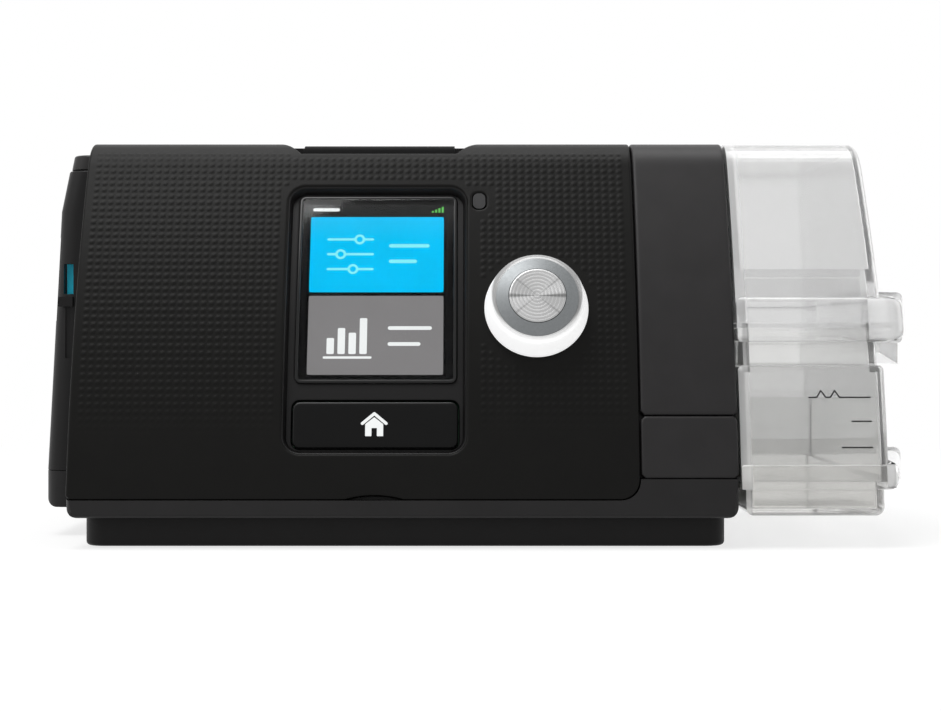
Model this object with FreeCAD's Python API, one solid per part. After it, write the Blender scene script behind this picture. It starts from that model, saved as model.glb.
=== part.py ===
"""Bedside CPAP machine with a water tub docked in its right-hand side.

Millimetres. +Z is up, +X runs to the right and +Y to the back. The origin lies on the
surface that the machine stands on, under the centre of the whole machine.
"""
import FreeCAD, Part
import os
from math import asin, cos, degrees, hypot, radians, sin, sqrt

V = FreeCAD.Vector
FAR = 400.0  # longer than the machine, for cutting tools

# ------------------------------------------------------------------ general walls and gaps
shell_wall = 2.5
seam_gap = 0.2
seat_gap = 0.1
moving_gap = 0.35
shaft_gap = 0.05

# ------------------------------------------------------------------ heights of the case
foot_height = 0.4
plinth_height = 8.6
lip_height = 13.7
split_height = 19.3
case_height = 116.0

# ------------------------------------------------------------------ plan of the case
core_left_x = -113.0
side_width = 14.5
case_left_x = core_left_x - side_width
mouth_x = 72.2
case_back_y = 66.0
case_corner_radius = 3.0
sole_radius = 3.5
shell_edge_radius = 1.5

# ------------------------------------------------------------------ curve of the front
front_radius = 300.0
front_foot_y = -74.2
front_foot_tilt = 9.0
top_edge_radius = 14.0
back_edge_radius = 6.0
front_centre_y = front_foot_y + front_radius * cos(radians(front_foot_tilt))
front_centre_z = lip_height - front_radius * sin(radians(front_foot_tilt))
round_z = case_height - top_edge_radius
round_y = front_centre_y - sqrt((front_radius - top_edge_radius) ** 2
                                - (round_z - front_centre_z) ** 2)
top_seam_back = 9.9
top_seam_y = round_y + top_seam_back

# ------------------------------------------------------------------ plinth and feet
plinth_left_x = -109.3
plinth_right_x = 69.4
plinth_front_y = -68.5
plinth_back_y = 60.0
plinth_corner_radius = 6.0
plinth_edge_radius = 1.2
floor_thickness = 2.0
foot_radius = 7.0
foot_thickness = 1.6
foot_inset = 13.0

# ------------------------------------------------------------------ case screws
screw_radius = 1.5
screw_head_radius = 2.9
screw_head_height = 1.6
screw_lines_x = (-76.0, -6.0, 36.0)
screw_lines_y = (-58.5, 52.0)
boss_radius = 3.6
boss_height = 5.0

# ------------------------------------------------------------------ front fascia
fascia_wall = 3.0
fascia_right_x = 45.0
fascia_corner_radius = 5.5
fascia_frame = 5.0
scallop_x = -28.2
scallop_half_width = 8.2
scallop_depth = 1.2

# ------------------------------------------------------------------ right-hand front panels
name_panel_top = 36.7

# ------------------------------------------------------------------ sunk control field
field_left_x = -52.9
field_right_x = -3.9
field_bottom = 27.3
field_drop = 14.7
field_top = case_height - field_drop
field_corner_radius = 4.0
field_chamfer = 1.6
bezel_wall = 2.0
bezel_overlap = 2.5

# ------------------------------------------------------------------ display
lens_left_x = -50.9
lens_right_x = -5.6
lens_bottom = 45.7
lens_border = 1.9
lens_top = field_top - lens_border
lens_corner_radius = 1.8
lens_wall = 1.6
lens_rise = 0.6
screen_thickness = 3.0
screen_margin = 2.2
screen_gap = 0.3
board_thickness = 1.6

# ------------------------------------------------------------------ buttons
home_left_x = -51.2
home_right_x = -5.2
home_bottom = 27.7
home_top = 40.5
home_corner_radius = 1.9
home_rise = 1.4
button_wall = 2.6
start_left_x = -50.6
start_right_x = -6.4
start_reach = 10.1
start_depth = 15.0
start_front_y = round_y - start_reach
start_back_y = start_front_y + start_depth
start_sink = 0.55
notch_depth = 2.2
notch_flank = 3.7
start_height = 7.0
start_foot = case_height - start_height
switch_size = 6.0
switch_height = 1.8
home_switch_height = 1.3
switch_gap = 0.9
start_board_width = 24.0
shelf_wall = 2.0

# ------------------------------------------------------------------ light sensor
sensor_x = 0.8
sensor_drop = 3.4
sensor_z = field_top - sensor_drop
sensor_width = 3.6
sensor_height = 4.6

# ------------------------------------------------------------------ dial
dial_x = 16.8
dial_z = 66.2
dial_skirt_radius = 14.6
dial_lip_radius = 13.1
dial_lip_height = 8.9
dial_ring_radius = 11.5
dial_ring_height = 10.0
dial_cap_radius = 7.9
dial_cap_height = 11.3
dial_press = 0.6
dial_shaft_radius = 3.0
dial_shaft_height = 7.9
dial_wall = 1.8
dial_hub_radius = 5.2
encoder_size = 12.0
encoder_height = 4.6

# ------------------------------------------------------------------ left side cover
side_front_y = -34.0
side_corner_radius = 6.0
side_drop = 3.4
side_top_height = case_height - side_drop
side_top_width = 7.0
side_top_x = core_left_x - side_top_width
side_bend_drop = 20.0
side_bend_height = case_height - side_bend_drop
side_bend_width = 10.4
side_bend_x = core_left_x - side_bend_width
side_edge_radius = 0.6
trim_height = 4.6
trim_inset = 0.5
trim_edge_radius = 0.8
card_y = -29.5
card_low = 64.0
card_width = 24.0
card_length = 32.0
card_thickness = 2.1
card_reach = 8.5
card_out_x = core_left_x - card_reach
notch_width = 2.6
notch_low = 71.5
notch_high = 80.4
ridge_low = 67.8
ridge_high = 70.6
ridge_rise = 1.2
groove_low = 52.6
groove_width = 1.5
groove_depth = 0.8
adapter_front_y = -10.0
adapter_back_y = 48.0
adapter_low = 28.0
adapter_high = 88.0
adapter_wall = 1.6

# ------------------------------------------------------------------ boards
main_board_y = -36.0
main_board_right_x = 2.0
main_board_drop = 18.0
main_board_top = case_height - main_board_drop
board_margin = 3.0
radio_side_gap = 37.0
radio_left_x = core_left_x + radio_side_gap
radio_width = 30.0
radio_height = 26.0
radio_thickness = 2.8

# ------------------------------------------------------------------ bay and heater
bay_inner_x = 8.5
bay_front_y = -46.0
bay_back_y = 46.0
bay_roof = 81.0
bay_wall = 1.5
heater_margin = 9.0
heater_thickness = 2.0
insulator_thickness = 3.6
spring_radius = 3.0
spring_wire = 0.8

# ------------------------------------------------------------------ tub
tub_wall = 2.0
tub_bay_gap = 1.2
tub_inner_x = 16.0
tub_outer_x = 114.3
tub_front_inset = 1.2
tub_back_y = 58.0
tub_corner_radius = 3.6
inner_corner_radius = 0.8
tub_shoulder_gap = 0.8
tub_bottom = 9.0
tray_inset = 1.4
tray_edge_radius = 2.5
tray_top = 18.5
band_top = 23.2
band_out = 1.4
band_edge_radius = 0.8
ledge_height = 50.6
neck_in = 1.8
ledge_edge_radius = 1.4
rim_bottom = 57.1
rim_top = 61.0
rim_out = 2.4
rim_edge_radius = 1.4
plate_thickness = 1.2
grip_reach = 13.2
grip_out_x = tub_outer_x + grip_reach
grip_half_width = 36.0
grip_radius = 11.0
grip_top = 72.0
grip_edge_radius = 3.0
lower_grip_reach = 12.7
lower_grip_out_x = tub_outer_x + lower_grip_reach
lower_grip_bottom = 14.5
lower_grip_top = 26.3
lower_grip_edge_radius = 4.0

# ------------------------------------------------------------------ lid
lid_seal_thickness = 1.3
lid_dome_bottom = 67.9
lid_rim_radius = 2.0
lid_inner_top = 66.0
lid_rim_top = 69.8
lid_rib_top = 77.8
lid_rib = 1.0
lid_dome_inset = 0.2
lid_dome_radius = 2.4
lid_side_in = 0.1
lid_side_x = tub_outer_x - lid_side_in
lid_side_lean = 0.045
lid_wall = 2.0
hinge_x = 13.0
hinge_z = 60.6
hinge_pin_radius = 1.2
hinge_knuckle_radius = 2.5
hinge_half_span = 24.0
hinge_ear = 4.0
catch_bottom = 50.9
catch_half_width = 30.0
catch_thickness = 5.5
catch_gap = 3.0
catch_slope = 3.4
skirt_gap = 0.8

# ------------------------------------------------------------------ air ports
port_offset_y = 22.0
port_z = 46.0
port_radius = 6.5
port_wall = 1.6
seal_thickness = 1.8

# ------------------------------------------------------------------ blower
blower_x = -64.0
blower_radius = 36.0
blower_height = 26.0
blower_nozzle_width = 16.0
blower_wall = 2.2
impeller_radius = 25.0
impeller_height = 10.0
impeller_blades = 11
inlet_radius = 13.0
motor_shaft_radius = 2.0
motor_radius = 17.0
motor_height = 26.0
rotor_radius = 8.0
rotor_gap = 0.5
bearing_radius = 5.0
bearing_height = 4.0

# ------------------------------------------------------------------ intake
muffler_side_gap = 3.0
muffler_left_x = core_left_x + muffler_side_gap
muffler_right_x = -24.0
muffler_front_y = -28.0
muffler_back_y = 42.0
muffler_top = 29.0
muffler_wall = 2.0
filter_side_gap = 9.0
filter_width = 38.0
filter_left_x = core_left_x + filter_side_gap
filter_right_x = filter_left_x + filter_width
filter_top = 66.0
filter_bottom = 30.0
filter_thickness = 5.0
filter_cover_margin = 4.0

# ------------------------------------------------------------------ power inlet
power_side_gap = 18.0
power_x = filter_right_x + power_side_gap
power_z = 30.0
power_width = 16.0
power_height = 16.0
power_depth = 14.0
power_socket_radius = 6.0
power_pin_radius = 0.9

# ------------------------------------------------------------------ air outlet
outlet_side_gap = 32.0
outlet_x = power_x + outlet_side_gap
outlet_radius = 11.0
outlet_bore_radius = 8.6
outlet_length = 24.0
outlet_end_y = 74.8
outlet_pocket_radius = 17.0
outlet_pocket_wall = 2.0
outlet_flange = 1.8
spigot_radius = 10.2
spigot_length = 2.1
duct_radius = 9.4
duct_bore_radius = 7.4
bend_radius = 14.0

# ------------------------------------------------------------------ worked-out positions
core_inset = fascia_wall + seam_gap
screen_sag = (lens_top - dial_z) ** 2 / (2 * front_radius)
screen_depth = fascia_wall - lens_rise + lens_wall + screen_gap + screen_sag
case_floor_top = plinth_height + floor_thickness
plinth_floor_top = foot_height + floor_thickness
bay_floor_top = case_floor_top + bay_wall + seat_gap
heater_top = bay_floor_top + seat_gap
tub_inner_bottom = heater_top + seat_gap
tub_shoulder_x = mouth_x + tub_shoulder_gap
lid_bottom = rim_top + lid_seal_thickness + 2 * seat_gap
heater_x = (bay_inner_x + heater_margin, mouth_x - heater_margin)
heater_y = (bay_front_y + heater_margin, bay_back_y - heater_margin)
blower_y = -port_offset_y + blower_radius - blower_nozzle_width / 2
blower_bottom = port_z - blower_height / 2
blower_top = port_z + blower_height / 2
outlet_start_y = outlet_end_y - outlet_length
housing_bottom = case_floor_top + boss_height + seat_gap
housing_front_y = muffler_back_y + seat_gap


# ------------------------------------------------------------------ basic shapes
def box(x0, x1, y0, y1, z0, z1):
    return Part.makeBox(x1 - x0, y1 - y0, z1 - z0, V(x0, y0, z0))


def rod(radius, start, end):
    return Part.makeCylinder(radius, (end - start).Length, start, end - start)


def tube(outer, inner, start, end):
    return rod(outer, start, end).cut(rod(inner, start, end))


def rounded_face(u0, u1, v0, v1, radii):
    """Face in the XY plane; radii run bottom left, bottom right, top right, top left."""
    corners = ((u0, v0, 1, 1), (u1, v0, -1, 1), (u1, v1, -1, -1), (u0, v1, 1, -1))
    edges = []
    last = None
    first = None
    for index, ((u, v, du, dv), radius) in enumerate(zip(corners, radii)):
        along_u = V(u + du * radius, v, 0)
        along_v = V(u, v + dv * radius, 0)
        enter, leave = (along_v, along_u) if index % 2 == 0 else (along_u, along_v)
        if last is not None:
            edges.append(Part.makeLine(last, enter))
        if radius > 0:
            bulge = radius * (1 - sqrt(0.5))
            middle = V(u + du * bulge, v + dv * bulge, 0)
            edges.append(Part.Arc(enter, middle, leave).toShape())
        if first is None:
            first = enter
        last = leave
    edges.append(Part.makeLine(last, first))
    return Part.Face(Part.Wire(edges))


def upright_prism(x0, x1, y0, y1, z0, z1, radii):
    """Block standing on the XY plane with rounded upright edges."""
    face = rounded_face(x0, x1, y0, y1, radii)
    face.translate(V(0, 0, z0))
    return face.extrude(V(0, 0, z1 - z0))


def front_prism(x0, x1, z0, z1, radii, y0=-FAR, y1=0.0):
    """Block with rounded edges that run front to back."""
    face = rounded_face(x0, x1, z0, z1, radii)
    face.rotate(V(0, 0, 0), V(1, 0, 0), 90)
    face.translate(V(0, y0, 0))
    return face.extrude(V(0, y1 - y0, 0))


def side_prism(y0, y1, z0, z1, radii, x0, x1):
    """Block with rounded edges that run left to right."""
    face = rounded_face(y0, y1, z0, z1, radii)
    face.rotate(V(0, 0, 0), V(1, 1, 1), 120)
    face.translate(V(x0, 0, 0))
    return face.extrude(V(x1 - x0, 0, 0))


def fuse(*shapes):
    """One solid from touching shapes, without seams inside flat faces."""
    return shapes[0].multiFuse(list(shapes[1:])).removeSplitter()


def group(shapes):
    """Several separate solids in one sub-part."""
    return Part.makeCompound(list(shapes))


def edges_near(shape, test):
    """Edges whose two ends and middle all satisfy the test."""
    found = []
    for edge in shape.Edges:
        middle = edge.valueAt((edge.FirstParameter + edge.LastParameter) / 2)
        points = [vertex.Point for vertex in edge.Vertexes] + [middle]
        if all(test(point) for point in points):
            found.append(edge)
    return found


def close(a, b):
    return abs(a - b) < 0.01


# ------------------------------------------------------------------ curve of the front
def front_y(z, inset=0.0):
    """Depth of the front surface, or of a surface inside it, at a height."""
    radius = front_radius - inset
    return front_centre_y - sqrt(radius ** 2 - (z - front_centre_z) ** 2)


def front_tilt(z):
    """Lean of the front surface from upright, in radians."""
    return asin((z - front_centre_z) / front_radius)


def on_skin(point):
    """Whether a point lies on the front curve, the rounded top edge or the flat top."""
    from_front = hypot(point.y - front_centre_y, point.z - front_centre_z)
    from_round = hypot(point.y - round_y, point.z - round_z)
    on_front_curve = close(from_front, front_radius) and point.y < round_y
    return on_front_curve or close(from_round, top_edge_radius) or close(point.z, case_height)


def soften_sides(plate, x0, x1, radius):
    """Round the two outer edges of a front plate that run from its foot to the top."""
    edges = edges_near(plate, lambda p: (close(p.x, x0) or close(p.x, x1)) and on_skin(p))
    return plate.makeFillet(radius, edges)


def case_section(inset, low, back_y):
    """Upright section through the case, shrunk by an inset, above a height."""
    centre = V(0, front_centre_y, front_centre_z)
    radius = front_radius - inset
    edge_radius = top_edge_radius - inset
    back_radius = back_edge_radius - min(inset, back_edge_radius - 1)
    round_centre = V(0, round_y, round_z)
    toward = (round_centre - centre).normalize()
    foot = V(0, front_y(low, inset), low)
    shoulder = centre + toward * radius
    half_way = centre + (((foot - centre).normalize() + toward).normalize()) * radius
    top = case_height - inset
    back = back_y - inset
    over = round_centre + ((toward + V(0, 0, 1)).normalize()) * edge_radius
    back_centre = V(0, back - back_radius, top - back_radius)
    back_bulge = back_centre + V(0, 1, 1).normalize() * back_radius
    top_front = V(0, round_y, top)
    top_back = V(0, back - back_radius, top)
    back_top = V(0, back, top - back_radius)
    back_foot = V(0, back, low)
    edges = [
        Part.Arc(foot, half_way, shoulder).toShape(),
        Part.Arc(shoulder, over, top_front).toShape(),
        Part.makeLine(top_front, top_back),
        Part.Arc(top_back, back_bulge, back_top).toShape(),
        Part.makeLine(back_top, back_foot),
        Part.makeLine(back_foot, foot),
    ]
    return Part.Face(Part.Wire(edges))


def case_block(x0, x1, inset, low, back_y=None):
    """The case's section drawn out from x0 to x1."""
    section = case_section(inset, low, case_back_y if back_y is None else back_y)
    section.translate(V(x0, 0, 0))
    return section.extrude(V(x1 - x0, 0, 0))


def front_layer(x0, x1, z0, z1, radii, depth0, depth1, low=5.0):
    """Curved plate between two depths under the front surface, with a rounded outline."""
    layer = case_block(x0 - 1, x1 + 1, depth0, low).cut(case_block(x0 - 2, x1 + 2, depth1, low - 1))
    return layer.common(front_prism(x0, x1, z0, z1, radii))


def on_front(shape, x, z):
    """Place a shape drawn on the XY plane so that its +Z leaves the front surface."""
    turn = 90 - degrees(front_tilt(z))
    moved = shape.copy()
    moved.rotate(V(0, 0, 0), V(1, 0, 0), turn)
    moved.translate(V(x, front_y(z), z))
    return moved


def turned(profile):
    """Solid of revolution about +Z from points (radius, height)."""
    points = [V(radius, 0, height) for radius, height in profile]
    return Part.Face(Part.makePolygon(points + points[:1])).revolve(V(0, 0, 0), V(0, 0, 1), 360)


def along_front(z):
    """Distance up the flat plane of the display electronics for a height."""
    return (z - dial_z) / cos(front_tilt(dial_z))


def flat_front_box(x0, x1, low, high, deep, shallow):
    """Flat block parallel to the front at the dial, between two depths behind it."""
    flat = box(x0, x1, along_front(low), along_front(high), -deep, -shallow)
    return on_front(flat, 0, dial_z)


# ------------------------------------------------------------------ base
def foot_places():
    xs = (plinth_left_x + foot_inset, plinth_right_x - foot_inset)
    ys = (plinth_front_y + foot_inset, plinth_back_y - foot_inset)
    return [(x, y) for x in xs for y in ys]


def screw_places():
    return [(x, y) for x in screw_lines_x for y in screw_lines_y]


def heater_hole(z0, z1):
    """Room for the heater plate through the floors under the bay."""
    return upright_prism(heater_x[0] - seat_gap, heater_x[1] + seat_gap, heater_y[0] - seat_gap,
                         heater_y[1] + seat_gap, z0, z1, [3.0 + seat_gap] * 4)


def base_plinth():
    wall = shell_wall
    shape = upright_prism(plinth_left_x, plinth_right_x, plinth_front_y, plinth_back_y,
                          foot_height, plinth_height, [plinth_corner_radius] * 4)
    shape = shape.makeFillet(plinth_edge_radius, edges_near(shape, lambda p: close(p.z, foot_height)))
    shape = shape.cut(upright_prism(plinth_left_x + wall, plinth_right_x - wall,
                                    plinth_front_y + wall, plinth_back_y - wall, plinth_floor_top,
                                    plinth_height + 1, [plinth_corner_radius - wall] * 4))
    for x, y in foot_places():
        shape = shape.cut(rod(foot_radius + seat_gap, V(x, y, 0), V(x, y, foot_thickness)))
    head_top = foot_height + screw_head_height + seat_gap
    for x, y in screw_places():
        shape = shape.fuse(rod(boss_radius, V(x, y, foot_height), V(x, y, plinth_height)))
        shape = shape.cut(rod(screw_radius + shaft_gap, V(x, y, 0), V(x, y, plinth_height + 1)))
        shape = shape.cut(rod(screw_head_radius + seat_gap, V(x, y, 0), V(x, y, head_top)))
    return shape.removeSplitter()


def rubber_feet():
    feet = []
    for x, y in foot_places():
        foot = rod(foot_radius, V(x, y, 0), V(x, y, foot_thickness))
        feet.append(foot.makeChamfer(0.5, edges_near(foot, lambda p: close(p.z, 0))))
    return group(feet)


def case_screws():
    screws = []
    head_bottom = foot_height + seat_gap / 2
    head_top = head_bottom + screw_head_height
    for x, y in screw_places():
        shank = rod(screw_radius, V(x, y, head_top), V(x, y, case_floor_top + boss_height - 1))
        head = rod(screw_head_radius, V(x, y, head_bottom), V(x, y, head_top))
        recess = rod(screw_radius * 0.6, V(x, y, head_bottom), V(x, y, head_bottom + 0.8))
        screws.append(shank.fuse(head).cut(recess))
    return group(screws)


# ------------------------------------------------------------------ case
def bay_hole(x0, z0):
    """Room for the bay liner, open towards the right-hand end."""
    gap = bay_wall + seat_gap
    return box(x0, mouth_x + 1, bay_front_y - gap, bay_back_y + gap, z0, bay_roof + gap)


def board_rails():
    """Pairs of ribs on the floor that hold the lower edge of the main board."""
    rails = []
    thickness = 2.0
    sides = (main_board_y - seat_gap - thickness, main_board_y + board_thickness + seat_gap)
    for x in (core_left_x + 18, main_board_right_x - 38):
        for y in sides:
            rails.append(box(x, x + 20, y, y + thickness, case_floor_top - 0.5, case_floor_top + 7))
    return rails


def wing_hollow(z0, z1):
    """Room inside the part of the lower case that carries the left side cover."""
    wall = shell_wall
    radius = side_corner_radius - wall
    return upright_prism(case_left_x + wall, core_left_x + 2 * wall, side_front_y + wall,
                         case_back_y - core_inset - wall, z0, z1, (radius, 0, 0, radius))


def lower_case():
    wall = shell_wall
    low = plinth_height
    outer = case_block(core_left_x, mouth_x, 0, low)
    outer = outer.common(upright_prism(core_left_x, mouth_x, front_y(low), case_back_y, low,
                                       split_height, [case_corner_radius] * 4))
    outer = outer.common(front_prism(core_left_x, mouth_x, low, FAR,
                                     (sole_radius, sole_radius, 0, 0), y1=FAR))
    wing = upright_prism(case_left_x, core_left_x + 2 * case_corner_radius, side_front_y,
                         case_back_y, low, split_height, (side_corner_radius, 0, 0,
                                                          side_corner_radius))
    wing = wing.common(front_prism(case_left_x, mouth_x, low, FAR, (sole_radius, 0, 0, 0), y1=FAR))
    outer = fuse(outer, wing).common(side_prism(front_y(low), case_back_y, low, FAR,
                                                (sole_radius / 2, sole_radius / 2, 0, 0),
                                                case_left_x, mouth_x))
    inner = case_block(core_left_x + wall, mouth_x - wall, core_inset + wall, case_floor_top)
    inner = inner.fuse(wing_hollow(case_floor_top, FAR))
    rebate = front_layer(core_left_x - seam_gap, fascia_right_x + seam_gap, lip_height - seam_gap,
                         split_height + 5, (1, fascia_corner_radius, 1, 1), -1.0, core_inset)
    shape = outer.cut(inner).cut(rebate).cut(bay_hole(bay_inner_x, case_floor_top))
    shape = shape.cut(heater_hole(plinth_height - 1, case_floor_top + 1))
    for x, y in screw_places():
        top = case_floor_top + boss_height
        shape = shape.fuse(rod(boss_radius, V(x, y, plinth_height), V(x, y, top)))
        shape = shape.cut(rod(screw_radius + shaft_gap, V(x, y, 0), V(x, y, top + 1)))
    return shape.multiFuse(board_rails()).removeSplitter()


def start_switch_shelf():
    """Bracket that hangs from the top of the case under the start button."""
    middle = (start_left_x + start_right_x) / 2
    half = 13.0
    top = start_foot - switch_gap - switch_height - board_thickness - seat_gap
    back = top_seam_y + 2.0
    plate = box(middle - half, middle + half, back - 2, back, top - shelf_wall, case_height - 2)
    shelf = box(middle - half, middle + half, start_front_y + 2, back, top - shelf_wall, top)
    return [plate, shelf]


def upper_case():
    wall = shell_wall
    low = split_height + seat_gap
    front = case_block(core_left_x, mouth_x, core_inset, low)
    behind_seam = box(core_left_x, mouth_x, top_seam_y + seam_gap, FAR, 0, FAR)
    behind = case_block(core_left_x, mouth_x, 0, low).common(behind_seam)
    seam_y = top_seam_y + seam_gap
    rims = edges_near(behind, lambda p: (close(p.x, core_left_x) or close(p.x, mouth_x))
                      and p.z > low + 0.01)
    rims += edges_near(behind, lambda p: (close(p.x, core_left_x) or close(p.x, mouth_x))
                       and close(p.y, case_back_y))
    rims = [edge for edge in rims if not all(close(v.Y, seam_y) for v in edge.Vertexes)]
    outer = front.fuse(behind.makeFillet(shell_edge_radius, rims))
    inner = case_block(core_left_x + wall, mouth_x - wall, core_inset + wall, low - 1)
    shape = outer.cut(inner)
    reach = bezel_overlap + 1.0
    window = front_prism(core_left_x + fascia_frame, fascia_right_x - fascia_frame,
                         field_bottom - reach, field_top + reach, [2.0] * 4,
                         y1=main_board_y + 4)
    shape = shape.cut(window).cut(bay_hole(mouth_x - wall - 1, 0))
    gap = moving_gap
    shape = shape.cut(box(start_left_x - gap, start_right_x + gap, start_front_y - gap - 1,
                          start_back_y + gap, start_foot - 10, FAR))
    shape = shape.multiFuse(start_switch_shelf())
    shape = shape.cut(card_slot(core_left_x - 1, core_left_x + wall + 1))
    # rear wall: openings for the outlet pocket, the filter and the power inlet
    axis = V(outlet_x, 0, port_z)
    reach = outlet_pocket_radius + outlet_pocket_wall + seat_gap
    shape = shape.cut(rod(reach, axis + V(0, outlet_start_y, 0), axis + V(0, FAR, 0)))
    shape = shape.cut(filter_opening(seam_gap, case_back_y - 2 * core_inset, FAR))
    shape = shape.cut(power_block(seat_gap, FAR))
    return shape.removeSplitter()


# ------------------------------------------------------------------ front
def start_notch():
    """Notch with sloping flanks in the top edge of the fascia."""
    low = case_height - notch_depth
    x0 = start_left_x - moving_gap
    x1 = start_right_x + moving_gap
    flank = notch_flank * (1 + 1 / notch_depth)
    points = [V(x0, 0, low), V(x1, 0, low), V(x1 + flank, 0, case_height + 1),
              V(x0 - flank, 0, case_height + 1), V(x0, 0, low)]
    face = Part.Face(Part.makePolygon(points))
    face.translate(V(0, -FAR, 0))
    notch = face.extrude(V(0, FAR + start_back_y + moving_gap, 0))
    well = box(x0, x1, start_front_y - moving_gap, start_back_y + moving_gap, start_foot - 10, FAR)
    return notch.fuse(well)


def front_fascia():
    outline = (core_left_x, fascia_right_x, lip_height, case_height + 5)
    plate = front_layer(*outline, (1, fascia_corner_radius, 0, 0), 0, fascia_wall)
    plate = plate.common(box(-FAR, FAR, -FAR, top_seam_y, 0, FAR))
    window = front_prism(field_left_x, field_right_x, field_bottom, field_top,
                         [field_corner_radius] * 4, y1=top_seam_y)
    plate = plate.cut(window)
    rim = edges_near(plate, lambda p: field_left_x - 0.1 < p.x < field_right_x + 0.1
                     and field_bottom - 0.1 < p.z < field_top + 0.1
                     and abs(p.y - front_y(p.z)) < 0.02)
    plate = plate.makeChamfer(field_chamfer, rim)
    plate = plate.cut(start_notch())
    reach = (scallop_half_width ** 2 + scallop_depth ** 2) / (2 * scallop_depth)
    centre = V(scallop_x, 0, lip_height + scallop_depth - reach)
    plate = plate.cut(rod(reach, centre - V(0, FAR, 0), centre))
    plate = plate.cut(sensor_prism(seam_gap))
    plate = plate.cut(on_front(rod(dial_shaft_radius + 2, V(0, 0, -8), V(0, 0, 8)), dial_x, dial_z))
    return soften_sides(plate, core_left_x, fascia_right_x, 0.6)


def sensor_prism(grow):
    half_w = sensor_width / 2 + grow
    half_h = sensor_height / 2 + grow
    return front_prism(sensor_x - half_w, sensor_x + half_w, sensor_z - half_h, sensor_z + half_h,
                       [1.6 + grow] * 4, y1=top_seam_y)


def light_sensor_lens():
    layer = case_block(sensor_x - 5, sensor_x + 5, 0.3, 50)
    layer = layer.cut(case_block(sensor_x - 6, sensor_x + 6, fascia_wall, 49))
    return layer.common(sensor_prism(0))


def home_prism(grow):
    return front_prism(home_left_x - grow, home_right_x + grow, home_bottom - grow,
                       home_top + grow, [home_corner_radius + grow] * 4, y1=top_seam_y)


def lens_prism(grow):
    return front_prism(lens_left_x - grow, lens_right_x + grow, lens_bottom - grow,
                       lens_top + grow, [lens_corner_radius + grow] * 4, y1=top_seam_y)


def control_bezel():
    reach = bezel_overlap
    front_depth = fascia_wall + seat_gap
    plate = front_layer(field_left_x - reach, field_right_x + reach, field_bottom - reach,
                        field_top + reach, [field_corner_radius + reach] * 4, front_depth,
                        front_depth + bezel_wall)
    return plate.cut(lens_prism(seat_gap)).cut(home_prism(moving_gap))


def display_lens():
    depth = fascia_wall - lens_rise
    return front_layer(lens_left_x, lens_right_x, lens_bottom, lens_top,
                       [lens_corner_radius] * 4, depth, depth + lens_wall)


def lcd_module():
    return flat_front_box(lens_left_x + screen_margin, lens_right_x - screen_margin,
                          lens_bottom + screen_margin, lens_top - screen_margin,
                          screen_depth + screen_thickness, screen_depth)


control_board_depth = screen_depth + screen_thickness + seat_gap


def control_boards():
    """Board behind the display, with a tongue for the encoder, and board of the start switch."""
    depths = (control_board_depth + board_thickness, control_board_depth)
    low = home_bottom + 2
    tall = flat_front_box(field_left_x - 1, field_right_x + 3, low, lens_top - 3, *depths)
    tongue = flat_front_box(field_right_x, dial_x + encoder_size, low,
                            dial_z + encoder_size / 2, *depths)
    middle = (start_left_x + start_right_x) / 2
    top = start_foot - switch_gap - switch_height
    small = box(middle - start_board_width / 2, middle + start_board_width / 2,
                start_front_y + 2.5, start_back_y, top - board_thickness, top)
    return group([fuse(tall, tongue), small])


def home_button():
    depth = fascia_wall - home_rise
    plate = front_layer(home_left_x, home_right_x, home_bottom, home_top,
                        [home_corner_radius] * 4, depth, depth + button_wall)
    edge = edges_near(plate, lambda p: abs(p.y - front_y(p.z, depth)) < 0.02)
    return plate.makeFillet(0.5, edge)


def start_stop_button():
    block = case_block(start_left_x, start_right_x, start_sink, start_foot)
    block = block.common(upright_prism(start_left_x, start_right_x, start_front_y, start_back_y,
                                       start_foot, FAR, [1.0] * 4))
    return block


def tact_switches():
    """Switch under the home button and switch under the start button."""
    half = switch_size / 2
    home_x = (home_left_x + home_right_x) / 2
    home_z = (home_bottom + home_top) / 2
    home = on_front(box(-half, half, -half, half, 0, home_switch_height), 0, dial_z)
    up = V(0, sin(front_tilt(dial_z)), cos(front_tilt(dial_z)))
    out = V(0, -cos(front_tilt(dial_z)), sin(front_tilt(dial_z)))
    home.translate(V(home_x, 0, 0) + up * along_front(home_z) - out * control_board_depth)
    start_x = (start_left_x + start_right_x) / 2
    start_y = (start_front_y + start_back_y) / 2
    top = start_foot - switch_gap
    start = box(start_x - half, start_x + half, start_y - half, start_y + half,
                top - switch_height, top)
    return group([home, start])


def right_panel(z0, z1, radii):
    x0 = fascia_right_x + 2 * seam_gap
    plate = front_layer(x0, mouth_x, z0, z1, radii, 0, fascia_wall)
    plate = plate.common(box(-FAR, FAR, -FAR, top_seam_y, 0, FAR))
    outer = edges_near(plate, lambda p: close(p.x, mouth_x) and on_skin(p))
    return plate.makeFillet(shell_edge_radius, outer)


def right_front_panel():
    return right_panel(name_panel_top + seam_gap, case_height + 5, (0, 0, 0, 0))


def name_panel():
    return right_panel(split_height + seam_gap, name_panel_top, (0, 0, 0, 0))


# ------------------------------------------------------------------ dial
def dial_piece(shape):
    return on_front(shape, dial_x, dial_z)


def encoder_body():
    half = encoder_size / 2
    bottom = -control_board_depth
    body = box(-half, half, -half, half, bottom, bottom + encoder_height)
    bush = rod(dial_shaft_radius + 1.4, V(0, 0, bottom + encoder_height), V(0, 0, -1))
    bore = rod(dial_shaft_radius + shaft_gap, V(0, 0, bottom + 0.5), V(0, 0, 5))
    return dial_piece(body.fuse(bush).cut(bore))


def dial_shaft():
    return dial_piece(rod(dial_shaft_radius, V(0, 0, 1 - control_board_depth),
                          V(0, 0, dial_shaft_height)))


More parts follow.
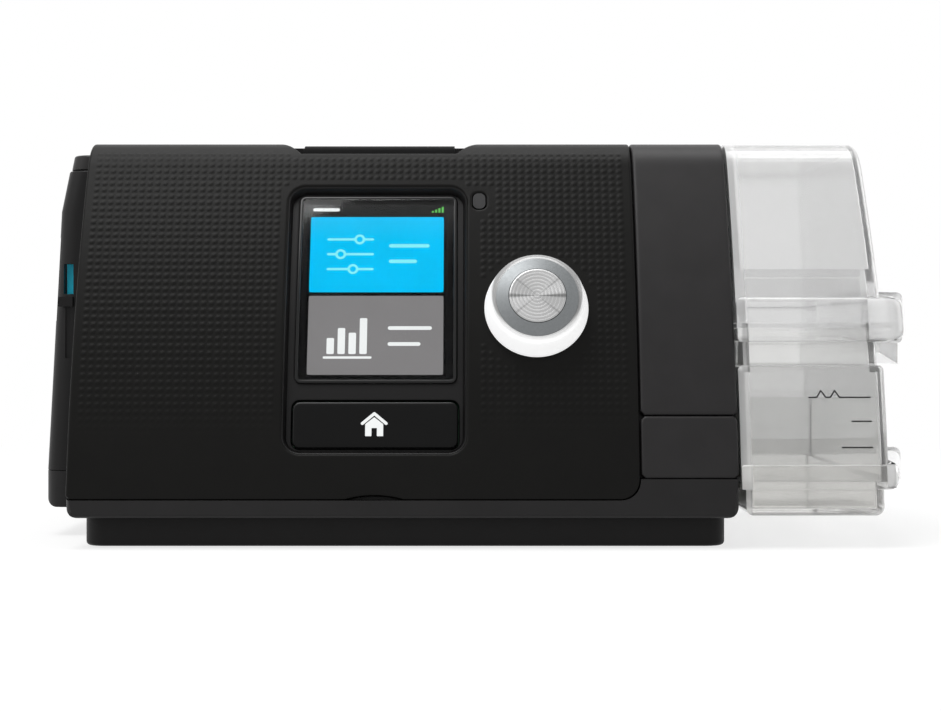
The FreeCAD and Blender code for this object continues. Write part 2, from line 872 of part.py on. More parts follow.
def dial_skirt():
    foot = dial_press + moving_gap
    wall = dial_wall
    inner = dial_lip_height - wall
    bore = dial_shaft_radius + shaft_gap
    roof = dial_shaft_height + dial_press + moving_gap
    outline = [(dial_skirt_radius - wall, foot), (dial_skirt_radius, foot),
               (dial_lip_radius, dial_lip_height), (dial_ring_radius, dial_ring_height - 0.3),
               (0, dial_ring_height - 0.3), (0, roof), (bore, roof), (bore, foot),
               (dial_hub_radius, foot), (dial_hub_radius, inner),
               (dial_lip_radius - wall, inner)]
    return dial_piece(turned(outline))


def dial_ring():
    base = dial_ring_height - 0.3 + 0.02
    return dial_piece(turned([(dial_cap_radius + 0.05, base), (dial_ring_radius, base),
                              (dial_ring_radius, dial_ring_height),
                              (dial_cap_radius + 0.05, dial_cap_height)]))


def dial_cap():
    base = dial_ring_height - 0.3 + 0.02
    return dial_piece(turned([(0, base), (dial_cap_radius, base),
                              (dial_cap_radius, dial_cap_height - 0.15), (0, dial_cap_height - 0.4)]))


# ------------------------------------------------------------------ left side
def side_x(z):
    """Left face of the side at a height: almost upright, then leaning in above the bend."""
    if z < side_bend_height:
        share = (z - split_height) / (side_bend_height - split_height)
        return case_left_x + share * (side_bend_x - case_left_x)
    share = (z - side_bend_height) / (side_top_height - side_bend_height)
    return side_bend_x + share * (side_top_x - side_bend_x)


def side_wedge(inward, x_core, z0, z1):
    """Prism between the core and the left face, moved inward."""
    heights = [z0] + [z for z in (side_bend_height,) if z0 < z < z1] + [z1]
    points = [V(x_core, -FAR, z0)] + [V(side_x(z) + inward, -FAR, z) for z in heights]
    points += [V(x_core, -FAR, z1), V(x_core, -FAR, z0)]
    return Part.Face(Part.makePolygon(points)).extrude(V(0, 2 * FAR, 0))


def side_block(inward, x_core, z0, z1):
    """Left side of the case between two heights, shrunk by an inset."""
    front = side_front_y + inward
    back = case_back_y - inward
    block = side_wedge(inward, x_core, z0, z1).common(box(-FAR, FAR, front, back, z0, z1))
    uprights = edges_near(block, lambda p: (close(p.y, front) or close(p.y, back))
                          and p.x < x_core - 1)
    return block.makeFillet(side_corner_radius - inward, uprights)


def round_top(block, x_core, top, radius):
    """Round the upper edges of a side block, but not the one against the core."""
    edges = [edge for edge in edges_near(block, lambda p: close(p.z, top))
             if not all(close(vertex.X, x_core) for vertex in edge.Vertexes)]
    return block.makeFillet(radius, edges)


def card_slot(x0, x1):
    half = card_thickness / 2 + moving_gap
    return box(x0, x1, card_y - half, card_y + half, card_low - moving_gap,
               card_low + card_width + moving_gap)


def adapter_slab(grow, inward):
    """Rounded plate in the sloping left face, from the face inward."""
    radius = 4.0 + grow
    outline = side_prism(adapter_front_y - grow, adapter_back_y + grow, adapter_low - grow,
                         adapter_high + grow, [radius] * 4, case_left_x - 5, core_left_x)
    whole = side_wedge(0, core_left_x, split_height, side_top_height)
    deeper = side_wedge(inward, core_left_x + 1, split_height - 1, side_top_height + 1)
    return whole.cut(deeper).common(outline)


def left_side_cover():
    x_core = core_left_x - seam_gap
    low = split_height + seam_gap
    high = side_top_height - trim_height
    wall = shell_wall
    shape = round_top(side_block(0, x_core, low, high), x_core, high, side_edge_radius)
    ridge = box(card_out_x - 1.7, card_out_x + notch_width, side_front_y - ridge_rise,
                side_front_y + 1, ridge_low, ridge_high)
    shape = fuse(shape, ridge)
    shape = shape.cut(side_block(wall, x_core + 1, low - 1, high - wall))
    shape = shape.cut(adapter_slab(seam_gap, adapter_wall + seam_gap))
    opening = side_prism(adapter_front_y + 4, adapter_back_y - 4, adapter_low + 4,
                         adapter_high - 4, [3.0] * 4, case_left_x - 5, core_left_x)
    shape = shape.cut(opening).cut(card_slot(case_left_x - 5, core_left_x))
    finger = box(card_out_x - 0.4, card_out_x + notch_width, -FAR, card_y, notch_low, notch_high)
    groove = box(card_out_x + 0.2, card_out_x + 0.2 + groove_width, -FAR,
                 side_front_y + groove_depth, groove_low, ridge_low)
    return shape.cut(finger).cut(groove)


def left_top_trim():
    x_core = core_left_x - seam_gap
    low = side_top_height - trim_height + seam_gap
    block = side_block(trim_inset, x_core, low, side_top_height)
    return round_top(block, x_core, side_top_height, trim_edge_radius)


def adapter_cover():
    return adapter_slab(0, adapter_wall)


def sd_card():
    half = card_thickness / 2
    card = box(card_out_x, card_out_x + card_length, card_y - half, card_y + half, card_low,
               card_low + card_width)
    corner = Part.Face(Part.makePolygon([
        V(card_out_x + card_length + 1, -FAR, card_low + card_width - 3),
        V(card_out_x + card_length + 1, -FAR, card_low + card_width + 1),
        V(card_out_x + card_length - 3, -FAR, card_low + card_width + 1),
        V(card_out_x + card_length + 1, -FAR, card_low + card_width - 3)]))
    return card.cut(corner.extrude(V(0, 2 * FAR, 0)))


def card_reader():
    x0 = core_left_x + shell_wall + seat_gap
    end = card_out_x + card_length + 3
    body = box(x0, end, main_board_y + board_thickness + seat_gap,
               card_y + card_thickness / 2 + 1.6, card_low - 1.5, card_low + card_width + 1.5)
    return body.cut(card_slot(x0 - 1, end - 2))


# ------------------------------------------------------------------ boards
def main_board():
    x0 = core_left_x + shell_wall + board_margin
    return box(x0, main_board_right_x, main_board_y, main_board_y + board_thickness,
               case_floor_top + 1.5, main_board_top)


def radio_module():
    y0 = main_board_y + board_thickness + 0.02
    top = main_board_top - 4
    return box(radio_left_x, radio_left_x + radio_width, y0, y0 + radio_thickness, top - radio_height, top)


def ribbon_cable():
    """Flat cable from the control board to the main board."""
    middle = (field_left_x + field_right_x) / 2
    z = lens_top - 14
    depth = control_board_depth + board_thickness
    up = V(0, sin(front_tilt(dial_z)), cos(front_tilt(dial_z)))
    out = V(0, -cos(front_tilt(dial_z)), sin(front_tilt(dial_z)))
    start = V(0, front_y(dial_z), dial_z) + up * along_front(z) - out * (depth + seat_gap)
    return box(middle - 12, middle + 12, start.y + 0.5, main_board_y - seat_gap,
               start.z - 0.5, start.z + 0.5)


# ------------------------------------------------------------------ blower
def blower_shape(grow, z0, z1):
    """Round housing with a straight nozzle that leaves towards the bay."""
    drum = rod(blower_radius + grow, V(blower_x, blower_y, z0), V(blower_x, blower_y, z1))
    half = blower_nozzle_width / 2 + grow
    nozzle = box(blower_x, nozzle_end_x - min(grow, 0), -port_offset_y - half,
                 -port_offset_y + half, z0, z1)
    return drum.fuse(nozzle)


nozzle_end_x = blower_x + blower_radius + 4


def blower_hollow():
    return blower_shape(-blower_wall, blower_bottom + blower_wall, blower_top - blower_wall)


def blower_housing_lower():
    shape = blower_shape(0, blower_bottom, port_z).cut(blower_hollow())
    floor = V(blower_x, blower_y, 0)
    shape = shape.cut(rod(inlet_radius, floor, floor + V(0, 0, port_z)))
    return shape.removeSplitter()


def blower_housing_upper():
    shape = blower_shape(0, port_z + seat_gap, blower_top).cut(blower_hollow())
    axis = V(blower_x, blower_y, 0)
    shape = shape.cut(rod(bearing_radius + seat_gap, axis, axis + V(0, 0, FAR)))
    return shape.removeSplitter()


def impeller():
    """Backplate with straight blades that lean back from the hub."""
    axis = V(blower_x, blower_y, 0)
    top = blower_top - blower_wall - 2
    plate = rod(impeller_radius, axis + V(0, 0, top - 1.6), axis + V(0, 0, top))
    hub = rod(motor_shaft_radius + 2, axis + V(0, 0, top - impeller_height), axis + V(0, 0, top))
    shape = plate.fuse(hub)
    for index in range(impeller_blades):
        blade = box(motor_shaft_radius + 4, impeller_radius - 0.5, -0.6, 0.6, 0, impeller_height - 1)
        blade.rotate(V(impeller_radius / 2, 0, 0), V(0, 0, 1), -24)
        blade.rotate(V(0, 0, 0), V(0, 0, 1), 360.0 * index / impeller_blades)
        blade.translate(axis + V(0, 0, top - impeller_height))
        shape = shape.fuse(blade)
    bore = rod(motor_shaft_radius + 0.01, axis, axis + V(0, 0, FAR))
    limit = rod(impeller_radius, axis, axis + V(0, 0, FAR))
    return shape.common(limit).cut(bore).removeSplitter()


motor_bottom = blower_top + seat_gap
motor_top = motor_bottom + motor_height


def motor_shaft():
    axis = V(blower_x, blower_y, 0)
    low = blower_top - blower_wall - 2 - impeller_height
    return rod(motor_shaft_radius, axis + V(0, 0, low),
               axis + V(0, 0, motor_top - blower_wall - 0.5))


def motor_bearings():
    axis = V(blower_x, blower_y, 0)
    places = (blower_top - blower_wall + 0.2, motor_top - blower_wall - bearing_height - 1)
    return group(tube(bearing_radius, motor_shaft_radius + shaft_gap, axis + V(0, 0, z),
                      axis + V(0, 0, z + bearing_height)) for z in places)


def motor_rotor():
    axis = V(blower_x, blower_y, 0)
    low = motor_bottom + bearing_height + 2
    return tube(rotor_radius, motor_shaft_radius + 0.01, axis + V(0, 0, low),
                axis + V(0, 0, motor_top - blower_wall - bearing_height - 3))


def motor_stator():
    axis = V(blower_x, blower_y, 0)
    low = motor_bottom + bearing_height + 2
    return tube(motor_radius - blower_wall - seat_gap, rotor_radius + rotor_gap,
                axis + V(0, 0, low), axis + V(0, 0, motor_top - blower_wall - bearing_height - 3))


def motor_cap():
    axis = V(blower_x, blower_y, 0)
    shape = tube(motor_radius, motor_radius - blower_wall, axis + V(0, 0, motor_bottom),
                 axis + V(0, 0, motor_top))
    shape = shape.fuse(rod(motor_radius, axis + V(0, 0, motor_top - blower_wall),
                           axis + V(0, 0, motor_top)))
    seat_top = motor_top - blower_wall
    seat = tube(bearing_radius + 2, bearing_radius + shaft_gap,
                axis + V(0, 0, seat_top - bearing_height - 1), axis + V(0, 0, seat_top))
    return shape.fuse(seat).removeSplitter()


def blower_mounts():
    """Rubber bushes between the muffler box and the blower."""
    mounts = []
    reach = blower_radius - 8
    for dx, dy in ((-1, -1), (1, -1), (-1, 1), (1, 1)):
        place = V(blower_x + dx * reach * sqrt(0.5), blower_y + dy * reach * sqrt(0.5), 0)
        mounts.append(rod(4.0, place + V(0, 0, muffler_top + seat_gap),
                          place + V(0, 0, blower_bottom - seat_gap)))
    return group(mounts)


def blower_outlet_duct():
    start = V(nozzle_end_x + seat_gap, -port_offset_y, port_z)
    end = V(bay_inner_x - bay_wall - seat_gap, -port_offset_y, port_z)
    return tube(duct_radius, duct_bore_radius, start, end)


# ------------------------------------------------------------------ intake
def muffler_box():
    wall = muffler_wall
    low = case_floor_top + seat_gap
    shape = box(muffler_left_x, muffler_right_x, muffler_front_y, muffler_back_y, low, muffler_top)
    shape = shape.cut(box(muffler_left_x + wall, muffler_right_x - wall, muffler_front_y + wall,
                          muffler_back_y - wall, low + wall, muffler_top - wall))
    axis = V(blower_x, blower_y, low + wall)
    shape = shape.cut(rod(inlet_radius, axis, axis + V(0, 0, FAR)))
    return shape.cut(intake_passage(muffler_back_y - wall - 1, muffler_back_y + 1))


def intake_passage(y0, y1):
    """Hole between the filter housing and the muffler box."""
    return box(filter_left_x + 3, filter_right_x - 3, y0, y1, housing_bottom + 2.5,
               muffler_top - muffler_wall - 0.5)


def muffler_foam():
    wall = muffler_wall + seat_gap
    low = case_floor_top + seat_gap + wall
    shape = box(muffler_left_x + wall, muffler_right_x - wall, muffler_front_y + wall,
                muffler_front_y + wall + 14, low, muffler_top - wall)
    end = box(muffler_right_x - wall - 8, muffler_right_x - wall, muffler_front_y + wall,
              muffler_back_y - wall, low, muffler_top - wall)
    return fuse(shape, end)


def inlet_bellows():
    axis = V(blower_x, blower_y, 0)
    return tube(inlet_radius + 2, inlet_radius, axis + V(0, 0, muffler_top + seat_gap),
                axis + V(0, 0, blower_bottom - seat_gap))


def filter_opening(grow, y0, y1):
    margin = filter_cover_margin + grow
    return front_prism(filter_left_x - margin, filter_right_x + margin, filter_bottom - margin,
                       filter_top + margin, [3.0 + grow] * 4, y0=y0, y1=y1)


filter_y = case_back_y - shell_wall - seam_gap - filter_thickness


def filter_housing():
    wall = muffler_wall
    back = case_back_y - core_inset - shell_wall - seat_gap
    shape = box(filter_left_x - wall - 0.5, filter_right_x + wall + 0.5, housing_front_y, back,
                housing_bottom, filter_top + wall + 0.5)
    shape = shape.cut(box(filter_left_x - 0.5, filter_right_x + 0.5, housing_front_y + wall,
                          back + 1, housing_bottom + wall, filter_top + 0.5))
    return shape.cut(intake_passage(housing_front_y - 1, housing_front_y + wall + 1))


def air_filter():
    return box(filter_left_x, filter_right_x, filter_y, filter_y + filter_thickness,
               filter_bottom, filter_top)


def filter_cover():
    cover = filter_opening(0, case_back_y - shell_wall, case_back_y)
    for index in range(5):
        z = filter_bottom + 6 + 6 * index
        cover = cover.cut(box(filter_left_x + 4, filter_right_x - 4, case_back_y - 4,
                              case_back_y + 1, z, z + 2))
    return cover


# ------------------------------------------------------------------ rear connections
def power_block(grow, y1):
    half_w = power_width / 2 + grow
    half_h = power_height / 2 + grow
    return front_prism(power_x - half_w, power_x + half_w, power_z - half_h, power_z + half_h,
                       [2.0 + grow] * 4, y0=case_back_y - power_depth - grow, y1=y1)


def power_inlet():
    block = power_block(0, case_back_y - 0.3)
    front = V(power_x, case_back_y - power_depth, power_z)
    socket = rod(power_socket_radius, front + V(0, 3, 0), front + V(0, FAR, 0))
    pin = rod(power_pin_radius, front + V(0, 2, 0), front + V(0, power_depth - 3, 0))
    return block.cut(socket).fuse(pin)


def outlet_pocket():
    """Cup in the rear wall round the air outlet, held by a flange behind the wall."""
    wall = outlet_pocket_wall
    radius = outlet_pocket_radius
    floor = V(outlet_x, outlet_start_y - seat_gap, port_z)
    flange = V(outlet_x, case_back_y - core_inset - shell_wall - seat_gap, port_z)
    cup = rod(radius + wall, floor - V(0, wall, 0), V(outlet_x, case_back_y, port_z))
    cup = cup.fuse(rod(radius + wall + outlet_flange, flange - V(0, wall, 0), flange))
    cup = cup.cut(rod(radius, floor, floor + V(0, FAR, 0)))
    return cup.cut(rod(spigot_radius + seat_gap, floor - V(0, wall + 1, 0), floor + V(0, 1, 0)))


def air_outlet_connector():
    """Tube for the hose cuff, with a narrower spigot through the floor of its pocket."""
    seat = outlet_start_y - spigot_length
    spigot = rod(spigot_radius, V(outlet_x, seat, port_z), V(outlet_x, outlet_start_y, port_z))
    end = V(outlet_x, outlet_end_y, port_z)
    cone = rod(outlet_radius, V(outlet_x, outlet_start_y, port_z), end)
    bore = rod(outlet_bore_radius, V(outlet_x, seat - 1, port_z), end + V(0, 1, 0))
    return spigot.fuse(cone).cut(bore)


def outlet_elbow():
    """Duct from the bay's inner wall round to the air outlet."""
    x0 = bay_inner_x - bay_wall - seat_gap
    turn_x = outlet_x + bend_radius
    turn_y = port_offset_y + bend_radius
    a = V(x0, port_offset_y, port_z)
    b = V(turn_x, port_offset_y, port_z)
    c = V(outlet_x, turn_y, port_z)
    d = V(outlet_x, outlet_start_y - spigot_length - seat_gap, port_z)
    middle = V(turn_x, turn_y, port_z) + V(-1, -1, 0).normalize() * bend_radius
    path = Part.Wire([Part.makeLine(a, b), Part.Arc(b, middle, c).toShape(), Part.makeLine(c, d)])
    pipes = []
    for radius in (duct_radius, duct_bore_radius):
        ring = Part.Wire(Part.makeCircle(radius, a, V(-1, 0, 0)))
        pipes.append(path.makePipeShell([ring], True, False))
    return pipes[0].cut(pipes[1])


# ------------------------------------------------------------------ bay
def bay_liner():
    wall = bay_wall
    floor = bay_floor_top
    shape = box(bay_inner_x - wall, mouth_x, bay_front_y - wall, bay_back_y + wall, floor - wall,
                bay_roof + wall)
    shape = shape.cut(box(bay_inner_x, mouth_x + 1, bay_front_y, bay_back_y, floor, bay_roof))
    shape = shape.cut(heater_hole(0, floor + 1))
    for side in (-1, 1):
        start = V(bay_inner_x - wall - 1, side * port_offset_y, port_z)
        shape = shape.cut(rod(port_radius, start, start + V(wall + 2, 0, 0)))
    return shape


def port_seals():
    return group(tube(port_radius + 2.5, port_radius,
                      V(bay_inner_x + 0.02, side * port_offset_y, port_z),
                      V(bay_inner_x + seal_thickness, side * port_offset_y, port_z))
                 for side in (-1, 1))


def heater_plate():
    return upright_prism(*heater_x, *heater_y, heater_top - heater_thickness, heater_top, [3.0] * 4)


def heater_insulator():
    return upright_prism(*heater_x, *heater_y, plinth_floor_top,
                         plinth_floor_top + insulator_thickness, [3.0] * 4)


def heater_springs():
    low = plinth_floor_top + insulator_thickness + seat_gap
    high = heater_top - heater_thickness - seat_gap
    inset = 8.0
    xs = (heater_x[0] + inset, heater_x[1] - inset)
    ys = (heater_y[0] + inset, heater_y[1] - inset)
    return group(tube(spring_radius, spring_radius - spring_wire, V(x, y, low), V(x, y, high))
                 for x in xs for y in ys)


# ------------------------------------------------------------------ tub
def inner_block(grow, z0, z1, x1=None):
    """Part of the tub that stands inside the bay, grown by an amount."""
    side = tub_bay_gap - grow
    end = tub_shoulder_x + 1 if x1 is None else x1
    return upright_prism(tub_inner_x - grow, end, bay_front_y + side, bay_back_y - side, z0, z1,
                         (3.0 + grow, 0, 0, 3.0 + grow))


def outer_block(grow, z0, z1):
    """Part of the tub outside the case between two heights, grown by an amount."""
    inset = tub_front_inset - grow
    x0 = tub_shoulder_x - min(grow, 0)
    x1 = tub_outer_x + grow
    back = tub_back_y + grow
    block = case_block(x0, x1, inset, z0, back + inset)
    block = block.common(box(x0 - 1, x1 + 1, -FAR, FAR, z0, z1))
    edges = edges_near(block, lambda p: close(p.x, x1) and
                       (close(p.y, front_y(p.z, inset)) or close(p.y, back)))
    return block.makeFillet(max(tub_corner_radius + grow, inner_corner_radius), edges)


def rounded_block(grow, z0, z1, at_z, radius):
    """Outer block with the edges at one height rounded."""
    block = outer_block(grow, z0, z1)
    return block.makeFillet(radius, edges_near(block, lambda p: close(p.z, at_z)))


def grip(out_x, z0, z1, edge_radius):
    """Rounded finger grip on the right-hand side of the tub."""
    x0 = tub_outer_x - 8
    plan = upright_prism(x0, out_x, -grip_half_width, grip_half_width, z0, z1,
                         (0, grip_radius, grip_radius, 0))
    return plan.common(front_prism(x0, out_x, z0, z1, (0, edge_radius, edge_radius, 0), y1=FAR))


def tray(inward, z0, z1):
    """Lowest part of the tub, with rounded lower edges."""
    return rounded_block(-tray_inset - inward, z0, z1, z0, tray_edge_radius - inward)


def tub_base():
    wall = tub_wall
    top = tray_top
    shape = fuse(tray(0, tub_bottom, top), inner_block(0, tub_inner_bottom, top))
    low_grip = grip(lower_grip_out_x, lower_grip_bottom, lower_grip_top, lower_grip_edge_radius)
    band = rounded_block(band_out, top - 2, band_top, band_top, band_edge_radius)
    shape = shape.fuse(band).fuse(low_grip)
    shape = shape.cut(outer_block(seat_gap, top, lower_grip_top + 1))
    shape = shape.cut(tray(wall, tub_bottom + wall, top + 1))
    x1 = tub_shoulder_x + tray_inset + wall + 0.5
    shape = shape.cut(inner_block(-wall, tub_inner_bottom + wall, top + 1, x1))
    shape = shape.cut(inner_block(seat_gap, top, band_top + 1, tub_shoulder_x + 2))
    shape = shape.cut(warm_plate_shape(seat_gap, 0, FAR))
    return shape.removeSplitter()


def warm_plate_shape(grow, z0, z1):
    return upright_prism(tub_inner_x + 8 - grow, tub_shoulder_x - 6 + grow, heater_y[0] - grow,
                         heater_y[1] + grow, z0, z1, [4.0 + grow] * 4)


def tub_heater_plate():
    return warm_plate_shape(0, tub_inner_bottom, tub_inner_bottom + plate_thickness)


def knuckle(y0, y1):
    return rod(hinge_knuckle_radius, V(hinge_x, y0, hinge_z), V(hinge_x, y1, hinge_z))


def hinge_bore():
    return rod(hinge_pin_radius + shaft_gap, V(hinge_x, -FAR, hinge_z), V(hinge_x, FAR, hinge_z))


def tub_body():
    wall = tub_wall
    low = tray_top + seat_gap
    shape = fuse(rounded_block(0, low, ledge_height, ledge_height, ledge_edge_radius),
                 outer_block(-neck_in, ledge_height - 1, rim_bottom),
                 rounded_block(rim_out, rim_bottom, rim_top, rim_bottom, rim_edge_radius),
                 inner_block(0, low, rim_top))
    shape = shape.cut(outer_block(-wall, low - 1, ledge_height - wall))
    shape = shape.cut(outer_block(-wall - neck_in, ledge_height - wall - 1, rim_top + 1))
    shape = shape.cut(inner_block(-wall, low - 1, rim_top + 1, tub_shoulder_x + wall + neck_in + 1))
    for side in (-1, 1):
        start = V(bay_inner_x + seal_thickness + seat_gap, side * port_offset_y, port_z)
        end = V(tub_inner_x + 1, side * port_offset_y, port_z)
        shape = shape.fuse(rod(port_radius + port_wall, start, end))
        shape = shape.cut(rod(port_radius, start - V(1, 0, 0), end + V(wall + 1, 0, 0)))
        y0, y1 = sorted((side * hinge_half_span, side * (hinge_half_span - hinge_ear)))
        ear = box(hinge_x, tub_inner_x + 1, y0, y1, hinge_z - hinge_knuckle_radius, hinge_z)
        shape = shape.fuse(knuckle(y0, y1)).fuse(ear)
    return shape.cut(hinge_bore()).removeSplitter()


def tub_hinge_pin():
    return rod(hinge_pin_radius, V(hinge_x, -hinge_half_span, hinge_z),
               V(hinge_x, hinge_half_span, hinge_z))


def lid_seal():
    low = rim_top + seat_gap
    high = low + lid_seal_thickness
    x1 = tub_shoulder_x + tub_wall + neck_in + 1
    reach = rim_out - 0.8
    front = front_y(high, tub_front_inset - reach)
    radius = tub_corner_radius + reach
    outer = upright_prism(tub_shoulder_x, tub_outer_x + reach, front, tub_back_y + reach,
                          low, high, (0, radius, radius, 0))
    shape = fuse(outer, inner_block(0, low, high))
    shape = shape.cut(outer_block(-tub_wall - neck_in, low - 3, high + 3))
    return shape.cut(inner_block(-tub_wall, low - 1, high + 1, x1)).removeSplitter()


def lid_dome(inward, z0):
    """Domed top of the lid above a height, shrunk by an inset."""
    inset = lid_dome_inset + inward
    x0 = tub_shoulder_x + inward
    block = case_block(x0, tub_outer_x + 5, inset, z0, tub_back_y)

    def side_x(z):
        return lid_side_x - inward - lid_side_lean * (z - lid_dome_bottom)

    points = [V(x0 - 1, -FAR, z0 - 1), V(side_x(z0 - 1), -FAR, z0 - 1),
              V(side_x(case_height), -FAR, case_height), V(x0 - 1, -FAR, case_height),
              V(x0 - 1, -FAR, z0 - 1)]
    block = block.common(Part.Face(Part.makePolygon(points)).extrude(V(0, 2 * FAR, 0)))
    edges = [edge for edge in edges_near(block, lambda p: close(p.x, side_x(p.z)))
             if not all(close(vertex.Z, z0) for vertex in edge.Vertexes)]
    return block.makeFillet(max(lid_dome_radius - inward, inner_corner_radius), edges)


def tub_lid():
    wall = lid_wall
    low = lid_bottom
    inner_top = lid_inner_top
    rim_x = tub_outer_x + rim_out
    handle = grip(grip_out_x, rim_bottom, grip_top, grip_edge_radius)
    handle = handle.cut(box(0, rim_x + skirt_gap, -FAR, FAR, 0, low))
    shape = fuse(rounded_block(rim_out, low, lid_rim_top, lid_rim_top, lid_rim_radius),
                 lid_dome(0, lid_dome_bottom),
                 inner_block(0, low, inner_top),
                 handle)
    shape = shape.cut(lid_dome(wall, lid_rib_top)).cut(lid_dome(wall + lid_rib, low - 1))
    x1 = tub_shoulder_x + wall + lid_rib + 1
    shape = shape.cut(inner_block(-wall, low - 1, inner_top - wall, x1))
    span = hinge_half_span - hinge_ear - moving_gap
    arm = box(hinge_x, tub_inner_x + 3, -span, span, rim_top + 4 * seat_gap, inner_top - 1.5)
    arm = arm.cut(box(tub_inner_x - 1, tub_inner_x + 5, -FAR, FAR, 0, low))
    shape = shape.fuse(knuckle(-span, span)).fuse(arm).cut(hinge_bore())
    return shape.fuse(lid_catch(rim_x + catch_gap, rim_bottom + 1)).removeSplitter()


def lid_catch(x0, top):
    """Wedge under the handle that is thicker on the outside."""
    x1 = x0 + catch_thickness
    points = [V(x0, 0, top), V(x0, 0, catch_bottom + catch_slope), V(x1, 0, catch_bottom),
              V(x1, 0, top), V(x0, 0, top)]
    face = Part.Face(Part.makePolygon(points))
    face.translate(V(0, -catch_half_width, 0))
    return face.extrude(V(0, 2 * catch_half_width, 0))


SUB_PARTS = (
    base_plinth, rubber_feet, case_screws, lower_case, upper_case,
    front_fascia, light_sensor_lens, control_bezel, display_lens, lcd_module, control_boards,
    home_button, start_stop_button, tact_switches,
    right_front_panel, name_panel,
    encoder_body, dial_shaft, dial_skirt, dial_ring, dial_cap,
    left_side_cover, left_top_trim, adapter_cover, sd_card, card_reader,
    main_board, radio_module, ribbon_cable,
    blower_housing_lower, blower_housing_upper, impeller, motor_shaft, motor_bearings,
    motor_rotor, motor_stator, motor_cap, blower_mounts, blower_outlet_duct,
    muffler_box, muffler_foam, inlet_bellows, filter_housing, air_filter, filter_cover,
    power_inlet, outlet_pocket, air_outlet_connector, outlet_elbow,
    bay_liner, port_seals, heater_plate, heater_insulator, heater_springs,
    tub_base, tub_heater_plate, tub_body, tub_hinge_pin, lid_seal, tub_lid,
)

os.makedirs("parts", exist_ok=True)
for make in SUB_PARTS:
    make().exportStep("parts/" + make.__name__ + ".step")
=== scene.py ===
"""Dresses the bedside breathing machine and its docked water tub.

Lengths are in millimetres. add_piece turns them into metres, in the frame of the CAD model:
X to the right, Y to the back, Z up from the resting surface.
"""

import math

import bmesh
import bpy
import numpy as np
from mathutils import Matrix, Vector
from mathutils.geometry import tessellate_polygon


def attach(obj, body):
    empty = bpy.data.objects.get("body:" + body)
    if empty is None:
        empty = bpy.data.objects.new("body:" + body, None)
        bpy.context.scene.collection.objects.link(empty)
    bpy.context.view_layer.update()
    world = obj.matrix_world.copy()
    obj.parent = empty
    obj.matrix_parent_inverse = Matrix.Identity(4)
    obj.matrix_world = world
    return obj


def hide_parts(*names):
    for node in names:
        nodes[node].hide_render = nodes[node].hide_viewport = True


MM = 0.001

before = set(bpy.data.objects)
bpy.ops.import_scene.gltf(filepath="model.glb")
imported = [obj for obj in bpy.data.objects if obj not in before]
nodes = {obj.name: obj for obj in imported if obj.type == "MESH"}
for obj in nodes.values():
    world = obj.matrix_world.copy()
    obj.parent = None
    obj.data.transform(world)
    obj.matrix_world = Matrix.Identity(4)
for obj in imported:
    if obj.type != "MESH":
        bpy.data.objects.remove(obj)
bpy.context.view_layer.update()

# ---- measures shared with the CAD
FRONT_RADIUS = 300.0
FRONT_TILT = math.radians(9.0)
FRONT_FOOT_Y = -74.2
LIP_HEIGHT = 13.7
CASE_HEIGHT = 116.0
TOP_RADIUS = 14.0
TOP_SEAM_Y = -20.0
FASCIA_WALL = 3.0
CORE_LEFT = -113.0
FASCIA_RIGHT = 45.0
MOUTH_X = 72.2
FIELD = (-52.9, -3.9, 27.3, 101.3)
LENS = (-50.9, -5.6, 45.7, 99.4)
HOME = (-51.2, -5.2, 27.7, 40.5)
START_KEY = (-50.6, -6.4)
DIAL_X = 16.8
DIAL_Z = 66.2
SCREEN_Z = 67.4
TUB_INSET = 1.2
WATER_TOP = 41.7
GRIP_FROM = 117.0
SHOULDER_Z = 50.0
DOCK_TO = 75.4

CENTRE_Y = FRONT_FOOT_Y + FRONT_RADIUS * math.cos(FRONT_TILT)
CENTRE_Z = LIP_HEIGHT - FRONT_RADIUS * math.sin(FRONT_TILT)
ROUND_Z = CASE_HEIGHT - TOP_RADIUS
ROUND_Y = CENTRE_Y - math.sqrt((FRONT_RADIUS - TOP_RADIUS) ** 2 - (ROUND_Z - CENTRE_Z) ** 2)
ARC_END = math.atan2(ROUND_Z - CENTRE_Z, CENTRE_Y - ROUND_Y)
ARC_LENGTH = FRONT_RADIUS * (ARC_END - FRONT_TILT)
ROLL_LENGTH = TOP_RADIUS * (math.pi / 2 - ARC_END)
SKIN_LENGTH = ARC_LENGTH + ROLL_LENGTH + TOP_SEAM_Y - ROUND_Y


# ---- the curved front
def skin_point(x, up, depth):
    """Points of the case front: up runs along the skin from the lip, depth goes in from it."""
    x, up, depth = np.broadcast_arrays(x, up, depth)
    turn = np.where(up < ARC_LENGTH, FRONT_TILT + up / FRONT_RADIUS,
                    np.minimum(ARC_END + (up - ARC_LENGTH) / TOP_RADIUS, math.pi / 2))
    flat = np.maximum(up - ARC_LENGTH - ROLL_LENGTH, 0)
    on_arc = up < ARC_LENGTH
    radius = np.where(on_arc, FRONT_RADIUS, TOP_RADIUS) - depth
    y = np.where(on_arc, CENTRE_Y, ROUND_Y) - radius * np.cos(turn) + flat
    z = np.where(on_arc, CENTRE_Z, ROUND_Z) + radius * np.sin(turn)
    return np.stack([x, y, z], axis=-1)


def up_skin(z, depth=0.0):
    """Distance up the skin at which the layer at this depth has height z."""
    if z < ROUND_Z + (TOP_RADIUS - depth) * math.sin(ARC_END):
        return FRONT_RADIUS * (math.asin((z - CENTRE_Z) / (FRONT_RADIUS - depth)) - FRONT_TILT)
    lift = min((z - ROUND_Z) / (TOP_RADIUS - depth), 1.0)
    return ARC_LENGTH + TOP_RADIUS * (math.asin(lift) - ARC_END)


